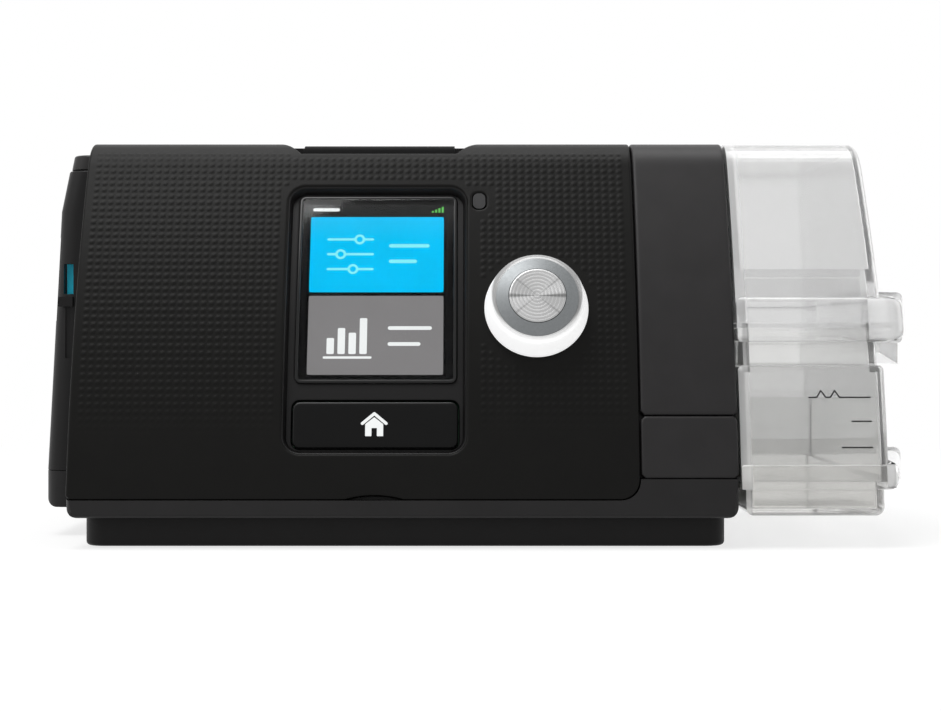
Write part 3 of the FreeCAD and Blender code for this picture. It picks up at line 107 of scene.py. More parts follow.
def inside_box(x, up, sides, radius):
    """Distance inside a rounded rectangle (left, right, low, high), negative outside it."""
    left, right, low, high = sides
    across = np.abs(x - (left + right) / 2) - ((right - left) / 2 - radius)
    along = np.abs(up - (low + high) / 2) - ((high - low) / 2 - radius)
    corner = np.hypot(np.maximum(across, 0), np.maximum(along, 0))
    return radius - corner - np.minimum(np.maximum(across, along), 0)


def on_skin_box(sides, depth=0.0):
    """Rectangle between two heights, as distances up the skin."""
    left, right, low, high = sides
    return left, right, up_skin(low, depth), up_skin(high, depth)


def grown(sides, by):
    """Rectangle with every side moved out."""
    left, right, low, high = sides
    return left - by, right + by, low - by, high + by


# the dial's own axes, which the display shares
DIAL_UP = up_skin(DIAL_Z)
DIAL_TURN = FRONT_TILT + DIAL_UP / FRONT_RADIUS
DIAL_FOOT = skin_point(DIAL_X, DIAL_UP, 0.0)
RIGHT = np.array([1.0, 0, 0])
ABOVE = np.array([0, math.sin(DIAL_TURN), math.cos(DIAL_TURN)])
OUT = np.array([0, -math.cos(DIAL_TURN), math.sin(DIAL_TURN)])


# ---- flat shapes
# Each gives a function of x and up: the distance inside the shape, negative outside it.
def rounded(sides, radius):
    return lambda x, up: inside_box(x, up, sides, radius)


def polygon(corners):
    """Polygon of (x, up) corners."""
    corners = [np.asarray(corner, float) for corner in corners]
    pairs = list(zip(corners, corners[1:] + corners[:1]))

    def inside(x, up):
        nearest = np.full(np.shape(x), 1e9)
        crossings = np.zeros(np.shape(x), bool)
        for (ax, au), (bx, bu) in pairs:
            along = np.clip(((x - ax) * (bx - ax) + (up - au) * (bu - au))
                            / ((bx - ax) ** 2 + (bu - au) ** 2), 0, 1)
            nearest = np.minimum(nearest, np.hypot(x - ax - along * (bx - ax),
                                                   up - au - along * (bu - au)))
            if au != bu:
                cut = ax + (up - au) * (bx - ax) / (bu - au)
                crossings ^= ((au > up) != (bu > up)) & (x < cut)
        return np.where(crossings, nearest, -nearest)
    return inside


def disc(x0, up0, radius):
    return lambda x, up: radius - np.hypot(x - x0, up - up0)


def bar(x0, up0, x1, up1, half):
    """Round-ended stroke between two points."""
    def inside(x, up):
        length = (x1 - x0) ** 2 + (up1 - up0) ** 2
        along = np.clip(((x - x0) * (x1 - x0) + (up - up0) * (up1 - up0)) / length, 0, 1)
        return half - np.hypot(x - x0 - along * (x1 - x0), up - up0 - along * (up1 - up0))
    return inside


def frame_of(shape, width):
    return lambda x, up: np.minimum(shape(x, up), width - shape(x, up))


def union(*shapes):
    return lambda x, up: np.maximum.reduce([shape(x, up) for shape in shapes])


def without(shape, *holes):
    return lambda x, up: np.minimum.reduce([shape(x, up)] + [-hole(x, up) for hole in holes])


def strokes(*lines, half):
    """Round-ended strokes from (x, up, x, up) rows."""
    return union(*(bar(*line, half) for line in lines))


# ---- mesh tools
CREASE = math.radians(42)
LATHE_SEGMENTS = 144
CASE_EDGE = 0.35


def on_circle(x, y, radius, degrees):
    turn = math.radians(degrees)
    return x + radius * math.cos(turn), y + radius * math.sin(turn)


def new_object(name, data):
    """New object in the scene."""
    thing = bpy.data.objects.new(name, data)
    bpy.context.scene.collection.objects.link(thing)
    return thing


def add_piece(name, points, faces, body, look):
    """New piece from points in millimetres, which rides on a body of the frame."""
    mesh = bpy.data.meshes.new(name)
    mesh.from_pydata((np.asarray(points, float) * MM).tolist(), [], faces)
    mesh.validate()
    mesh.materials.append(looks[look])
    mesh.shade_smooth()
    mesh.set_sharp_from_angle(angle=CREASE)
    piece = new_object(name, mesh)
    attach(piece, body)
    return piece


def face_outward(piece):
    work = bmesh.new()
    work.from_mesh(piece.data)
    bmesh.ops.recalc_face_normals(work, faces=work.faces)
    work.to_mesh(piece.data)
    work.free()
    return piece


def numbered(rings):
    """Numbers of the points in rings of equal length."""
    return np.arange(len(rings) * len(rings[0])).reshape(len(rings), -1).tolist()


def band_faces(rings):
    """Faces between rings of point numbers. A ring that repeats one number is a tip."""
    faces = []
    for lower, upper in zip(rings, rings[1:]):
        for i, _ in enumerate(lower):
            j = (i + 1) % len(lower)
            face = list(dict.fromkeys([lower[i], lower[j], upper[j], upper[i]]))
            if len(face) > 2:
                faces.append(face)
    return faces


def slope(inside, x, up, reach=0.02):
    """Unit direction in which the distance inside grows."""
    gx = inside(x + reach, up) - inside(x - reach, up)
    gu = inside(x, up + reach) - inside(x, up - reach)
    length = np.maximum(np.hypot(gx, gu), 1e-9)
    return gx / length, gu / length


def fill_region(inside, xs, ups):
    """Grid faces over the region where inside >= 0, cut along its outline."""
    x, up = (lines.ravel() for lines in np.meshgrid(xs, ups))
    depth_in = inside(x, up)
    step = min(np.diff(xs).min(), np.diff(ups).min())
    near = np.abs(depth_in) < 0.3 * step
    gx, gu = slope(inside, x[near], up[near])
    x[near] -= depth_in[near] * gx
    up[near] -= depth_in[near] * gu
    depth_in[near] = 0
    good = depth_in >= 0
    wide = len(xs)
    first = (np.arange(len(ups) - 1)[:, None] * wide + np.arange(wide - 1)).ravel()
    cells = np.stack([first, first + 1, first + 1 + wide, first + wide], axis=1)
    count = good[cells].sum(axis=1)
    faces = cells[count == 4].tolist()
    extra = []
    crossing = {}
    partial = (count > 0) & (count < 4) & (depth_in[cells].max(axis=1) > 0)
    for cell in cells[partial]:
        ring = []
        for a, b in zip(cell, np.roll(cell, -1)):
            if good[a]:
                ring.append(int(a))
            if depth_in[a] * depth_in[b] < 0:
                key = (min(a, b), max(a, b))
                if key not in crossing:
                    part = depth_in[a] / (depth_in[a] - depth_in[b])
                    crossing[key] = len(x) + len(extra)
                    extra.append((x[a] + part * (x[b] - x[a]), up[a] + part * (up[b] - up[a])))
                ring.append(crossing[key])
        if len(ring) > 2:
            faces.append(ring)
    if extra:
        x = np.append(x, [point[0] for point in extra])
        up = np.append(up, [point[1] for point in extra])
    used = np.unique(np.concatenate([np.asarray(face) for face in faces]))
    number = np.full(len(x), -1)
    number[used] = np.arange(len(used))
    return x[used], up[used], [number[face].tolist() for face in faces]


def rim_loops(faces):
    """Closed loops of the edges that only one face has."""
    edges = {(a, b) for face in faces for a, b in zip(face, face[1:] + face[:1])}
    after = {a: b for a, b in edges if (b, a) not in edges}
    loops = []
    while after:
        start, here = after.popitem()
        loop = [start]
        while here != start:
            loop.append(here)
            here = after.pop(here)
        loops.append(loop)
    return loops


def region_of(faces):
    """Function that names the connected region a point of the faces belongs to."""
    parent = {index: index for face in faces for index in face}

    def root(index):
        while parent[index] != index:
            parent[index] = parent[parent[index]]
            index = parent[index]
        return index

    for face in faces:
        for other in face[1:]:
            parent[root(face[0])] = root(other)
    return root


def plate(name, inside, lines, body, look, *, depth, wall, edge, height=None,
          place=skin_point):
    """Solid plate on the front: flat face at a depth, rounded edge, and a wall down to its back.

    Lines are the grid lines across and up that its face is cut from.
    """
    def face_inside(x, up):
        return inside(x, up) - edge

    turns = [math.radians(angle) for angle in (30, 60, 90)]
    profile = [(edge * math.sin(turn), edge * (1 - math.cos(turn))) for turn in turns]
    profile.append((edge, wall))
    x, up, faces = fill_region(face_inside, *lines)
    lift = height(x, up) if height else 0.0
    points = [place(x, up, depth - lift)]
    total = len(x)
    loops = rim_loops(faces)
    region = region_of(faces)
    backs = {}
    for loop in loops:
        gx, gu = slope(face_inside, x[loop], up[loop])
        previous = loop
        for out, sink in profile:
            points.append(place(x[loop] - out * gx, up[loop] - out * gu, depth + sink))
            ring = list(range(total, total + len(loop)))
            total += len(loop)
            for i, _ in enumerate(loop):
                j = (i + 1) % len(loop)
                faces.append([previous[j], previous[i], ring[i], ring[j]])
            previous = ring
        outline = [Vector((a, b, 0)) for a, b in zip(x[loop] - edge * gx, up[loop] - edge * gu)]
        backs.setdefault(region(loop[0]), []).append((previous, outline))
    for rings in backs.values():
        order = [index for ring, _ in rings for index in ring]
        for triangle in tessellate_polygon([outline for _, outline in rings]):
            faces.append([order[index] for index in triangle])
    return face_outward(add_piece(name, np.concatenate(points), faces, body, look))


def even(low, high, step):
    """Evenly spaced grid lines that end on both limits."""
    return np.linspace(low, high, max(int(round((high - low) / step)), 1) + 1)


def grid(sides, step):
    """Grid lines across and up a rectangle."""
    left, right, low, high = sides
    return even(left, right, step), even(low, high, step)


def lathe(name, outline, body, look):
    """Turned piece on the dial's axis from (radius, height) points."""
    angles = np.linspace(0, 2 * math.pi, LATHE_SEGMENTS, endpoint=False)
    rings, points = [], []
    for radius, height in outline:
        base = DIAL_FOOT + height * OUT
        if radius == 0:
            rings.append([len(points)] * LATHE_SEGMENTS)
            points.append(base)
            continue
        rings.append(list(range(len(points), len(points) + LATHE_SEGMENTS)))
        points.extend(base + radius * (math.cos(angle) * RIGHT + math.sin(angle) * ABOVE)
                      for angle in angles)
    return face_outward(add_piece(name, points, band_faces(rings), body, look))


def round_edges(piece, width, angle):
    """Rounds the edges that are sharper than an angle and evens out the shading."""
    bevel = piece.modifiers.new("bevel", "BEVEL")
    bevel.width = width * MM
    bevel.segments = 2
    bevel.limit_method = "ANGLE"
    bevel.angle_limit = math.radians(angle)
    piece.modifiers.new("normals", "WEIGHTED_NORMAL")


def soften(node):
    """Rounds the sharp edges of a CAD node, once its flat faces are whole again."""
    piece = nodes[node]
    weld = piece.modifiers.new("weld", "WELD")
    weld.merge_threshold = 0.00001
    merge = piece.modifiers.new("merge", "DECIMATE")
    merge.decimate_type = "DISSOLVE"
    merge.angle_limit = math.radians(0.6)
    round_edges(piece, CASE_EDGE, 35)


# ---- material tools
NOISE_RANGE = (0.3, 0.7)
looks = {}


def feed(tree, node, inputs):
    """Gives each named input a number, a colour or the output of another node."""
    for key, value in inputs.items():
        if isinstance(value, bpy.types.NodeSocket):
            tree.links.new(value, node.inputs[key])
        else:
            node.inputs[key].default_value = value


def add_node(tree, kind, inputs=None, operation=None):
    node = tree.nodes.new("ShaderNode" + kind)
    if operation:
        node.operation = operation
    feed(tree, node, inputs or {})
    return node


def compute(tree, operation, *terms):
    """Outcome of one Math node."""
    return add_node(tree, "Math", dict(enumerate(terms)), operation).outputs["Value"]


def grey(tone):
    return tone, tone, tone


def scaled(colour, by):
    return tuple(channel * by for channel in colour)


class Look:
    """A material, kept in looks by its name, with short ways to add nodes in object space."""

    def __init__(self, name):
        material = looks[name] = bpy.data.materials.new(name)
        material.use_nodes = True
        self.tree = material.node_tree
        self.shader = self.tree.nodes["Principled BSDF"]
        self.place = self.add("TexCoord").outputs["Object"]

    def add(self, kind, inputs=None):
        return add_node(self.tree, kind, inputs)

    def set(self, **values):
        for key, value in values.items():
            self.shader.inputs[key.replace("_", " ")].default_value = value
        return self

    def link(self, output, key):
        self.tree.links.new(output, self.shader.inputs[key])
        return self

    def along(self, axis, place=None):
        """Coordinate along one axis, in metres."""
        place = self.place if place is None else place
        return self.add("SeparateXYZ", {"Vector": place}).outputs[axis]

    def noise(self, size, detail=3.0, stretch=(1, 1, 1)):
        """Noise whose cells are size millimetres wide."""
        mapping = self.add("Mapping", {"Vector": self.place, "Scale": stretch})
        texture = self.add("TexNoise", {"Vector": mapping.outputs["Vector"],
                                        "Scale": 1 / (size * MM), "Detail": detail})
        return texture.outputs["Fac"]

    def spread(self, value, low, high, start=NOISE_RANGE[0], end=NOISE_RANGE[1]):
        """Number that goes from low to high as a value goes from start to end."""
        node = self.add("MapRange", {"Value": value, "From Min": start, "From Max": end,
                                     "To Min": low, "To Max": high})
        return node.outputs["Result"]

    def tint(self, value, dark, light):
        """Colour that goes from dark to light with the value of a noise."""
        node = self.add("ValToRGB", {"Fac": value})
        first, last = node.color_ramp.elements
        first.position, last.position = NOISE_RANGE
        first.color, last.color = (*dark, 1), (*light, 1)
        return node.outputs["Color"]

    def greys(self, value, *stops):
        """Grey that follows (value, tone) stops."""
        node = self.add("ValToRGB", {"Fac": value})
        ramp = node.color_ramp.elements
        for share, tone in stops:
            ramp.new(share).color = (*grey(tone), 1)
        ramp.remove(ramp[0])
        ramp.remove(ramp[-1])
        return node.outputs["Color"]

    def facing(self):
        """0 where the surface faces the viewer, 1 where it turns fully away."""
        return self.add("LayerWeight", {"Blend": 0.5}).outputs["Facing"]

    def blend(self, share, first, second):
        """Goes from one colour output to a plain colour as the share goes from 0 to 1."""
        node = self.add("Mix")
        node.data_type = "RGBA"
        feed(self.tree, node, {"Factor": share, 6: first, 7: (*second, 1)})
        return node.outputs[2]

    def compute(self, operation, *terms):
        return compute(self.tree, operation, *terms)

    def bump(self, value, depth, strength=1.0):
        """Relief that is depth millimetres deep."""
        node = self.add("Bump", {"Height": value, "Distance": depth * MM, "Strength": strength})
        return self.link(node.outputs["Normal"], "Normal")


def moulded(name, colour, roughness=0.42, specular=0.3, grain=0.25, depth=0.02, mottle=0.12,
            edge_gloss=0.0):
    """Moulded plastic: fine grain, slow changes of colour and of gloss, shinier turned edges."""
    look = Look(name)
    slow = look.noise(9.0, 4.0)
    look.link(look.tint(slow, scaled(colour, 1 - mottle), scaled(colour, 1 + mottle)), "Base Color")
    look.link(look.spread(look.noise(3.0), roughness - 0.015, roughness + 0.015), "Roughness")
    look.bump(look.noise(grain, 2.0), depth)
    if edge_gloss:
        look.link(look.spread(look.facing(), 0.0, edge_gloss, 0.08, 0.5), "Coat Weight")
        look.set(Coat_Roughness=0.12)
    look.set(Specular_IOR_Level=specular)


def metal(name, colour, roughness=0.3, stretch=(1, 1, 1), scratch=0.4):
    """Bare metal with fine lines."""
    look = Look(name)
    lines = look.noise(scratch, 2.0, stretch)
    look.link(look.tint(lines, scaled(colour, 0.85), colour), "Base Color")
    look.link(look.spread(lines, roughness - 0.07, roughness + 0.08), "Roughness")
    look.bump(lines, 0.01)
    look.set(Metallic=1.0)


# where the looks of the tub change, where the painted reflection on the display's cover and the
# painted glow, shade and highlight on the dial's rim change, in metres, and how much light the
# tub's milkier parts let through
SHOULDER_FADE = (SHOULDER_Z * MM, (SHOULDER_Z + 1) * MM)
GRIP_FADE = (GRIP_FROM * MM, (GRIP_FROM + 1.5) * MM)
DOCK_FADE = (DOCK_TO * MM, (DOCK_TO + 1) * MM)
GRIP_COLOUR = grey(0.97)
GRIP_CLEARNESS = 0.78
DOCK_CLEARNESS = 0.5
FLAT_CLEARNESS = 0.92
PAINTED_REFLECTION_FADE = (0.086, 0.099)
PAINTED_GLOW_FADE = (0.0079, 0.0094)
RIM_TOP = 0.012
PAINTED_LIGHT_LEAN = 0.09


def clear(name, colour, roughness, ior, cloud=0.0, haze=1.0, raised=1.0):
    """See-through material with slow cloudy changes.

    Haze is what still passes straight through where the surface turns away. Above the shoulder of
    the tub the colour is raised. The grips on its right and its docking side are milkier.
    """
    look = Look(name)
    slow = look.noise(14.0, 3.0)
    shade = look.tint(slow, scaled(colour, 0.95), colour)
    look.link(look.spread(slow, roughness, roughness + cloud), "Roughness")
    look.set(IOR=ior)
    if haze == 1:
        look.link(shade, "Base Color").set(Transmission_Weight=1.0)
        return
    across = look.along("X")
    high = look.spread(look.along("Z"), 0, 1, *SHOULDER_FADE)
    shade = look.blend(high, shade, scaled(colour, raised))
    shade = look.blend(look.spread(across, 0, 1, *GRIP_FADE), shade, GRIP_COLOUR)
    edges = look.spread(look.facing(), FLAT_CLEARNESS, haze, 0.12, 0.60)
    grips = look.spread(across, 1.0, GRIP_CLEARNESS, *GRIP_FADE)
    dock = look.spread(across, DOCK_CLEARNESS, 1.0, *DOCK_FADE)
    clearness = look.compute("MULTIPLY", edges, look.compute("MULTIPLY", grips, dock))
    look.link(shade, "Base Color").link(clearness, "Transmission Weight")
    look.set(Coat_Weight=1.0, Coat_Roughness=0.05)


def frosted(name, colour, roughness, passing):
    """Milky plastic that lets part of the light straight through."""
    look = Look(name)
    slow = look.noise(14.0, 3.0)
    look.link(look.tint(slow, scaled(colour, 0.97), colour), "Base Color")
    look.link(look.spread(slow, roughness, roughness + 0.06), "Roughness")
    look.set(IOR=1.16, Transmission_Weight=passing)
    look.set(Coat_Weight=1.0, Coat_Roughness=0.05)


def cover_glass(name, colour):
    """Clear cover with a painted reflection: it mirrors more towards its upper edge."""
    look = Look(name)
    slow = look.noise(14.0, 3.0)
    look.link(look.tint(slow, scaled(colour, 0.95), colour), "Base Color")
    look.link(look.spread(slow, 0.01, 0.02), "Roughness")
    # painted reflection: more coat higher up the cover
    look.link(look.spread(look.along("Z"), 0.0, 0.35, *PAINTED_REFLECTION_FADE), "Coat Weight")
    look.set(IOR=1.06, Transmission_Weight=1.0, Coat_Roughness=0.05)


def lit(name, colour, strength):
    """Glowing display colour, with a faint cell pattern."""
    look = Look(name)
    cells = look.noise(0.35, 1.0)
    look.link(look.tint(cells, scaled(colour, 0.96), colour), "Emission Color")
    look.link(look.spread(cells, 0.3, 0.36), "Roughness")
    look.set(Base_Color=(0.002, 0.002, 0.002, 1), Specular_IOR_Level=0.02)
    look.set(Emission_Strength=strength)


def dial_space(look):
    """Place in the dial's own axes: Z goes out along its shaft."""
    mapping = look.add("Mapping", {"Vector": look.place, "Location": DIAL_FOOT * MM,
                                   "Rotation": (math.pi / 2 - DIAL_TURN, 0, 0)})
    mapping.vector_type = "TEXTURE"
    return mapping.outputs["Vector"]


def painted_glow_ring(name):
    """White ring with a soft painted glow that reaches higher on its lower side, under a rim with
    painted shade, greyer at the top, and a painted highlight on its inner lip.
    """
    look = Look(name)
    space = dial_space(look)
    # the height leans towards the dial's top: painted shade on the upper side, painted light on the
    # lower side
    height = look.compute("MULTIPLY_ADD", look.along("Y", space), PAINTED_LIGHT_LEAN,
                          look.along("Z", space))
    # painted shade: a grey band on the rim; painted highlight: the lighter last stop at its inner
    # lip
    tone = look.greys(look.spread(height, 0, 1, 0.0, RIM_TOP),
                      (0, 0.85), (0.75, 0.85), (0.775, 0.40), (0.867, 0.40), (0.892, 0.74))
    look.link(tone, "Base Color")
    # painted glow, standing in for light on the ring's lower flank
    look.link(look.spread(height, 0.62, 0.0, *PAINTED_GLOW_FADE), "Emission Strength")
    look.link(look.spread(look.noise(6.0), 0.18, 0.24), "Roughness")
    look.set(Emission_Color=(1, 1, 1, 1), Specular_IOR_Level=0.5)


def spun_metal(name):
    """Spun disc: rings in the surface, and a painted reflection in its colour: light that gathers
    in fans round its middle.
    """
    look = Look(name)
    space = dial_space(look)
    rings = look.add("TexWave", {"Vector": space, "Scale": 1 / (3.2 * MM), "Distortion": 0.4,
                                 "Detail Scale": 2.0})
    rings.wave_type = "RINGS"
    rings.rings_direction = "Z"
    fan = look.add("TexGradient", {"Vector": space})
    fan.gradient_type = "RADIAL"
    turn = look.compute("MULTIPLY", fan.outputs["Fac"], 2 * math.pi)
    fold = look.compute("ABSOLUTE", look.compute("COSINE", turn))
    # painted reflection: darker streaks at set angles round the disc
    shade = look.greys(fold, (0.0, 0.43), (0.715, 0.43), (0.766, 0.28), (0.81, 0.43),
                       (0.995, 0.42), (0.9998, 0.17))
    look.link(shade, "Base Color")
    look.link(look.spread(rings.outputs["Fac"], 0.26, 0.36, 0, 1), "Roughness")
    look.bump(rings.outputs["Fac"], 0.035, 0.8)
    look.set(Metallic=1.0, Anisotropic=0.6)


# ---- materials
moulded("fascia_black", (0.0038, 0.0036, 0.0032), 0.40, 0.11)
moulded("case_black", (0.0068, 0.0064, 0.0066), 0.42, 0.18, mottle=0.06)
moulded("lip_black", (0.0120, 0.0114, 0.0117), 0.42, 0.20)
moulded("panel_black", (0.0165, 0.0155, 0.0160), 0.40, 0.22, depth=0.012)
moulded("plinth_black", (0.0078, 0.0074, 0.0074), 0.50, 0.16, depth=0.03)
moulded("key_black", (0.0024, 0.0024, 0.0025), 0.36, 0.12, depth=0.010, edge_gloss=0.9)
moulded("start_black", (0.0024, 0.0024, 0.0025), 0.36, 0.01, depth=0.010)
moulded("trim_grey", (0.021, 0.020, 0.020), 0.40, 0.22)
moulded("glass_edge", grey(0.006), 0.16, 0.25, depth=0.001, edge_gloss=1.0)
moulded("rubber_black", grey(0.012), 0.75, 0.2, 0.5, 0.04)
moulded("smoked", (0.028, 0.028, 0.029), 0.16, 0.30, depth=0.001, edge_gloss=1.0)
moulded("card_blue", (0.015, 0.72, 1.0), 0.38, 0.3)
moulded("board_green", (0.02, 0.12, 0.05), 0.4, 0.4, 0.6)
moulded("blower_grey", (0.25, 0.25, 0.26), 0.4, 0.4)
moulded("impeller_white", grey(0.6), 0.35, 0.4)
moulded("ribbon_tan", (0.5, 0.48, 0.4), 0.45, 0.4)
moulded("silicone_grey", (0.36, 0.36, 0.38), 0.6, 0.3, 0.5)
moulded("foam_black", grey(0.04), 0.95, 0.1, 0.9, 0.35, 0.5)
moulded("felt_white", (0.75, 0.76, 0.76), 0.95, 0.1, 0.5, 0.25, 0.1)
metal("steel", (0.62, 0.62, 0.63), 0.28)
metal("screw_zinc", grey(0.5), 0.35)
metal("iron", (0.35, 0.30, 0.27), 0.45)
metal("tin", grey(0.62), 0.3)
metal("heater_silver", grey(0.7), 0.3, (1, 8, 1))
clear("lid_plastic", grey(0.87), 0.07, 1.16, 0.06, 0.72)
clear("band_plastic", grey(0.84), 0.12, 1.16, 0.05, 0.60)
clear("tub_plastic", (0.795, 0.795, 0.79), 0.07, 1.16, 0.06, 0.62, 1.14)
clear("tray_plastic", (0.93, 0.925, 0.91), 0.10, 1.16, 0.08, 0.50)
frosted("grip_plastic", grey(0.985), 0.2, 0.62)
clear("seal_clear", grey(0.9), 0.2, 1.16, 0.1, 0.8)
clear("water_clear", (0.80, 0.802, 0.792), 0.03, 1.07)
cover_glass("lens_clear", (0.96, 0.97, 0.97))
moulded("print_black", grey(0.012), 0.5, 0.3, depth=0.004)
moulded("screen_black", (0.0016, 0.0016, 0.0018), 0.24, 0.09, depth=0.002)
lit("tile_blue", (0.0, 0.57, 1.0), 1.0)
lit("tile_grey", (0.235, 0.227, 0.23), 1.0)
lit("glow_white", (0.93, 0.95, 0.95), 1.0)
lit("glow_cyan", (0.25, 0.92, 1.0), 1.0)
lit("glow_green", (0.12, 0.55, 0.10), 1.0)
spun_metal("dial_spun")
# the dial's white ring, with painted glow, shade and highlight
painted_glow_ring("dial_white")
metal("dial_grey", (0.205, 0.215, 0.22), 0.42)

NODES_BY_LOOK = """
plinth_black: base_plinth tact_switches encoder_body power_inlet bay_liner
plinth_black: heater_insulator
case_black: upper_case left_side_cover adapter_cover filter_cover air_outlet_connector
case_black: control_bezel outlet_pocket
blower_grey: blower_housing_lower blower_housing_upper motor_cap muffler_box
blower_grey: filter_housing
silicone_grey: blower_mounts blower_outlet_duct outlet_elbow inlet_bellows port_seals
steel: dial_shaft motor_shaft motor_bearings heater_springs tub_hinge_pin
panel_black: right_front_panel name_panel
board_green: control_boards main_board
tin: radio_module card_reader
iron: motor_rotor motor_stator
heater_silver: heater_plate tub_heater_plate
rubber_black: rubber_feet
screw_zinc: case_screws
lip_black: lower_case
trim_grey: left_top_trim
fascia_black: front_fascia
key_black: home_button
start_black: start_stop_button
smoked: light_sensor_lens
lens_clear: display_lens
screen_black: lcd_module
ribbon_tan: ribbon_cable
card_blue: sd_card
dial_white: dial_skirt
dial_grey: dial_ring
dial_spun: dial_cap
impeller_white: impeller
foam_black: muffler_foam
felt_white: air_filter
tray_plastic: tub_base
tub_plastic: tub_body
seal_clear: lid_seal
lid_plastic: tub_lid
"""
for row in NODES_BY_LOOK.split("\n")[1:-1]:
    look_name, names = row.split(": ")
    for node in names.split():
        nodes[node].data.materials.clear()
        nodes[node].data.materials.append(looks[look_name])

SOFTENED = ("upper_case lower_case base_plinth left_side_cover left_top_trim adapter_cover"
            " filter_cover start_stop_button air_outlet_connector power_inlet sd_card bay_liner")
for node in SOFTENED.split():
    soften(node)

# ---- textured fascia
BUMP_PITCH_X = 2.19
BUMP_PITCH_UP = 2.12
BUMP_HALF = (0.80, 0.72)
BUMP_HEIGHT = 0.13
TEXTURE_LOW = 30.0
TEXTURE_FULL = 40.0
TEXTURE_TOP = 112.3
DIAL_CLEARING = 17.6
SCALLOP_X = -28.2
SCALLOP_HALF = 8.2
SCALLOP_DEPTH = 1.2
NOTCH_SHARE = 0.34
NOTCH_RISE = 1.5
NOTCH_GAP = 0.6
FIELD_CORNER = 4.0
SLOPE_OUT = 1.1
FOOT_CORNER = 5.5
SENSOR = (-1.2, 2.8, 95.4, 100.4)
SENSOR_CORNER = 1.7
DIAL_BORE = 5.0
EDGE_CLEARING = 2.6
field_box = on_skin_box(FIELD)


def inside_fascia(x, up):
    """Distance inside the fascia, which has five openings and cut-outs."""
    outline = inside_box(x, up, (CORE_LEFT, FASCIA_RIGHT, 0.0, SKIN_LENGTH + 4), 1.0)
    corner_x = FASCIA_RIGHT - FOOT_CORNER
    corner = FOOT_CORNER - np.hypot(x - corner_x, up - FOOT_CORNER)
    outline = np.where((x > corner_x) & (up < FOOT_CORNER), np.minimum(outline, corner), outline)
    outline = np.minimum(outline, SKIN_LENGTH - up)
    window = -inside_box(x, up, grown(field_box, SLOPE_OUT), FIELD_CORNER + SLOPE_OUT)
    reach = (SCALLOP_HALF ** 2 + SCALLOP_DEPTH ** 2) / (2 * SCALLOP_DEPTH)
    scallop = np.hypot(x - SCALLOP_X, up - SCALLOP_DEPTH + reach) - reach
    notch_low = ARC_LENGTH + NOTCH_SHARE * ROLL_LENGTH
    off_middle = np.abs(x - (START_KEY[0] + START_KEY[1]) / 2)
    half = (START_KEY[1] - START_KEY[0]) / 2 + NOTCH_GAP
    flank = ((half - off_middle) * NOTCH_RISE + up - notch_low) / math.hypot(NOTCH_RISE, 1)
    notch = -np.minimum(up - notch_low, flank)
    sensor = -inside_box(x, up, on_skin_box(SENSOR), SENSOR_CORNER)
    bore = np.hypot(x - DIAL_X, up - DIAL_UP) - DIAL_BORE
    return np.minimum.reduce([outline, window, scallop, notch, sensor, bore])


def bump_lines(low, high, pitch, half):
    """Grid lines that meet every bump at its foot, its flank and its top."""
    centres = np.arange(low + pitch / 2, high, pitch)
    offsets = np.array([-half, -0.6 * half, 0, 0.6 * half, half, pitch / 2])
    lines = (centres[:, None] + offsets).ravel()
    return np.unique(np.round(np.concatenate([[low], lines[lines < high], [high]]), 4))


def bump_height(x, up):
    """Height of the raised grid over the skin, none near edges and round the dial."""
    column = np.floor((x - CORE_LEFT) / BUMP_PITCH_X) + 0.5
    row = np.floor(up / BUMP_PITCH_UP) + 0.5
    centre_x = CORE_LEFT + column * BUMP_PITCH_X
    centre_up = row * BUMP_PITCH_UP
    reach = np.hypot((x - centre_x) / BUMP_HALF[0], (up - centre_up) / BUMP_HALF[1])
    dome = np.sqrt(np.clip(1 - reach ** 2, 0, 1))
    fade = np.clip((centre_up - up_skin(TEXTURE_LOW))
                   / (up_skin(TEXTURE_FULL) - up_skin(TEXTURE_LOW)), 0, 1)
    near_edge = inside_fascia(centre_x, centre_up) < EDGE_CLEARING
    near_top = centre_up > up_skin(TEXTURE_TOP)
    near_dial = np.hypot(centre_x - DIAL_X, centre_up - DIAL_UP) < DIAL_CLEARING
    return BUMP_HEIGHT * dome * fade * ~(near_edge | near_top | near_dial)


fascia_lines = (bump_lines(CORE_LEFT, FASCIA_RIGHT, BUMP_PITCH_X, BUMP_HALF[0]),
                bump_lines(0.0, SKIN_LENGTH, BUMP_PITCH_UP, BUMP_HALF[1]))
fascia = plate("fascia_skin", inside_fascia, fascia_lines, "housing", "fascia_black",
               depth=0.0, wall=FASCIA_WALL, edge=0.6, height=bump_height)
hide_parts("front_fascia")

# ---- right-hand panels
PANEL_LEFT = 45.4
NAME_TOP = 36.7
NAME_LOW = 19.5


def front_plate(name, sides, body, look, *, radius, depth, wall, edge, step):
    """Plain rounded plate on the front, between heights at its own depth."""
    box = on_skin_box(sides, depth)
    return plate(name, rounded(box, radius), grid(box, step), body, look, depth=depth,
                 wall=wall, edge=edge)


panel_box = (PANEL_LEFT, MOUTH_X, up_skin(NAME_TOP + 0.2), SKIN_LENGTH)
panel = plate("right_panel_skin", rounded(panel_box, 1.1), grid(panel_box, 1.2), "housing",
              "panel_black", depth=0.0, wall=FASCIA_WALL, edge=0.7)
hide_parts("right_front_panel")
name_plate = front_plate("name_panel_skin", (PANEL_LEFT, MOUTH_X, NAME_LOW, NAME_TOP), "housing",
                         "panel_black", radius=1.1, depth=0.0, wall=FASCIA_WALL,
                         edge=0.7, step=1.2)
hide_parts("name_panel")

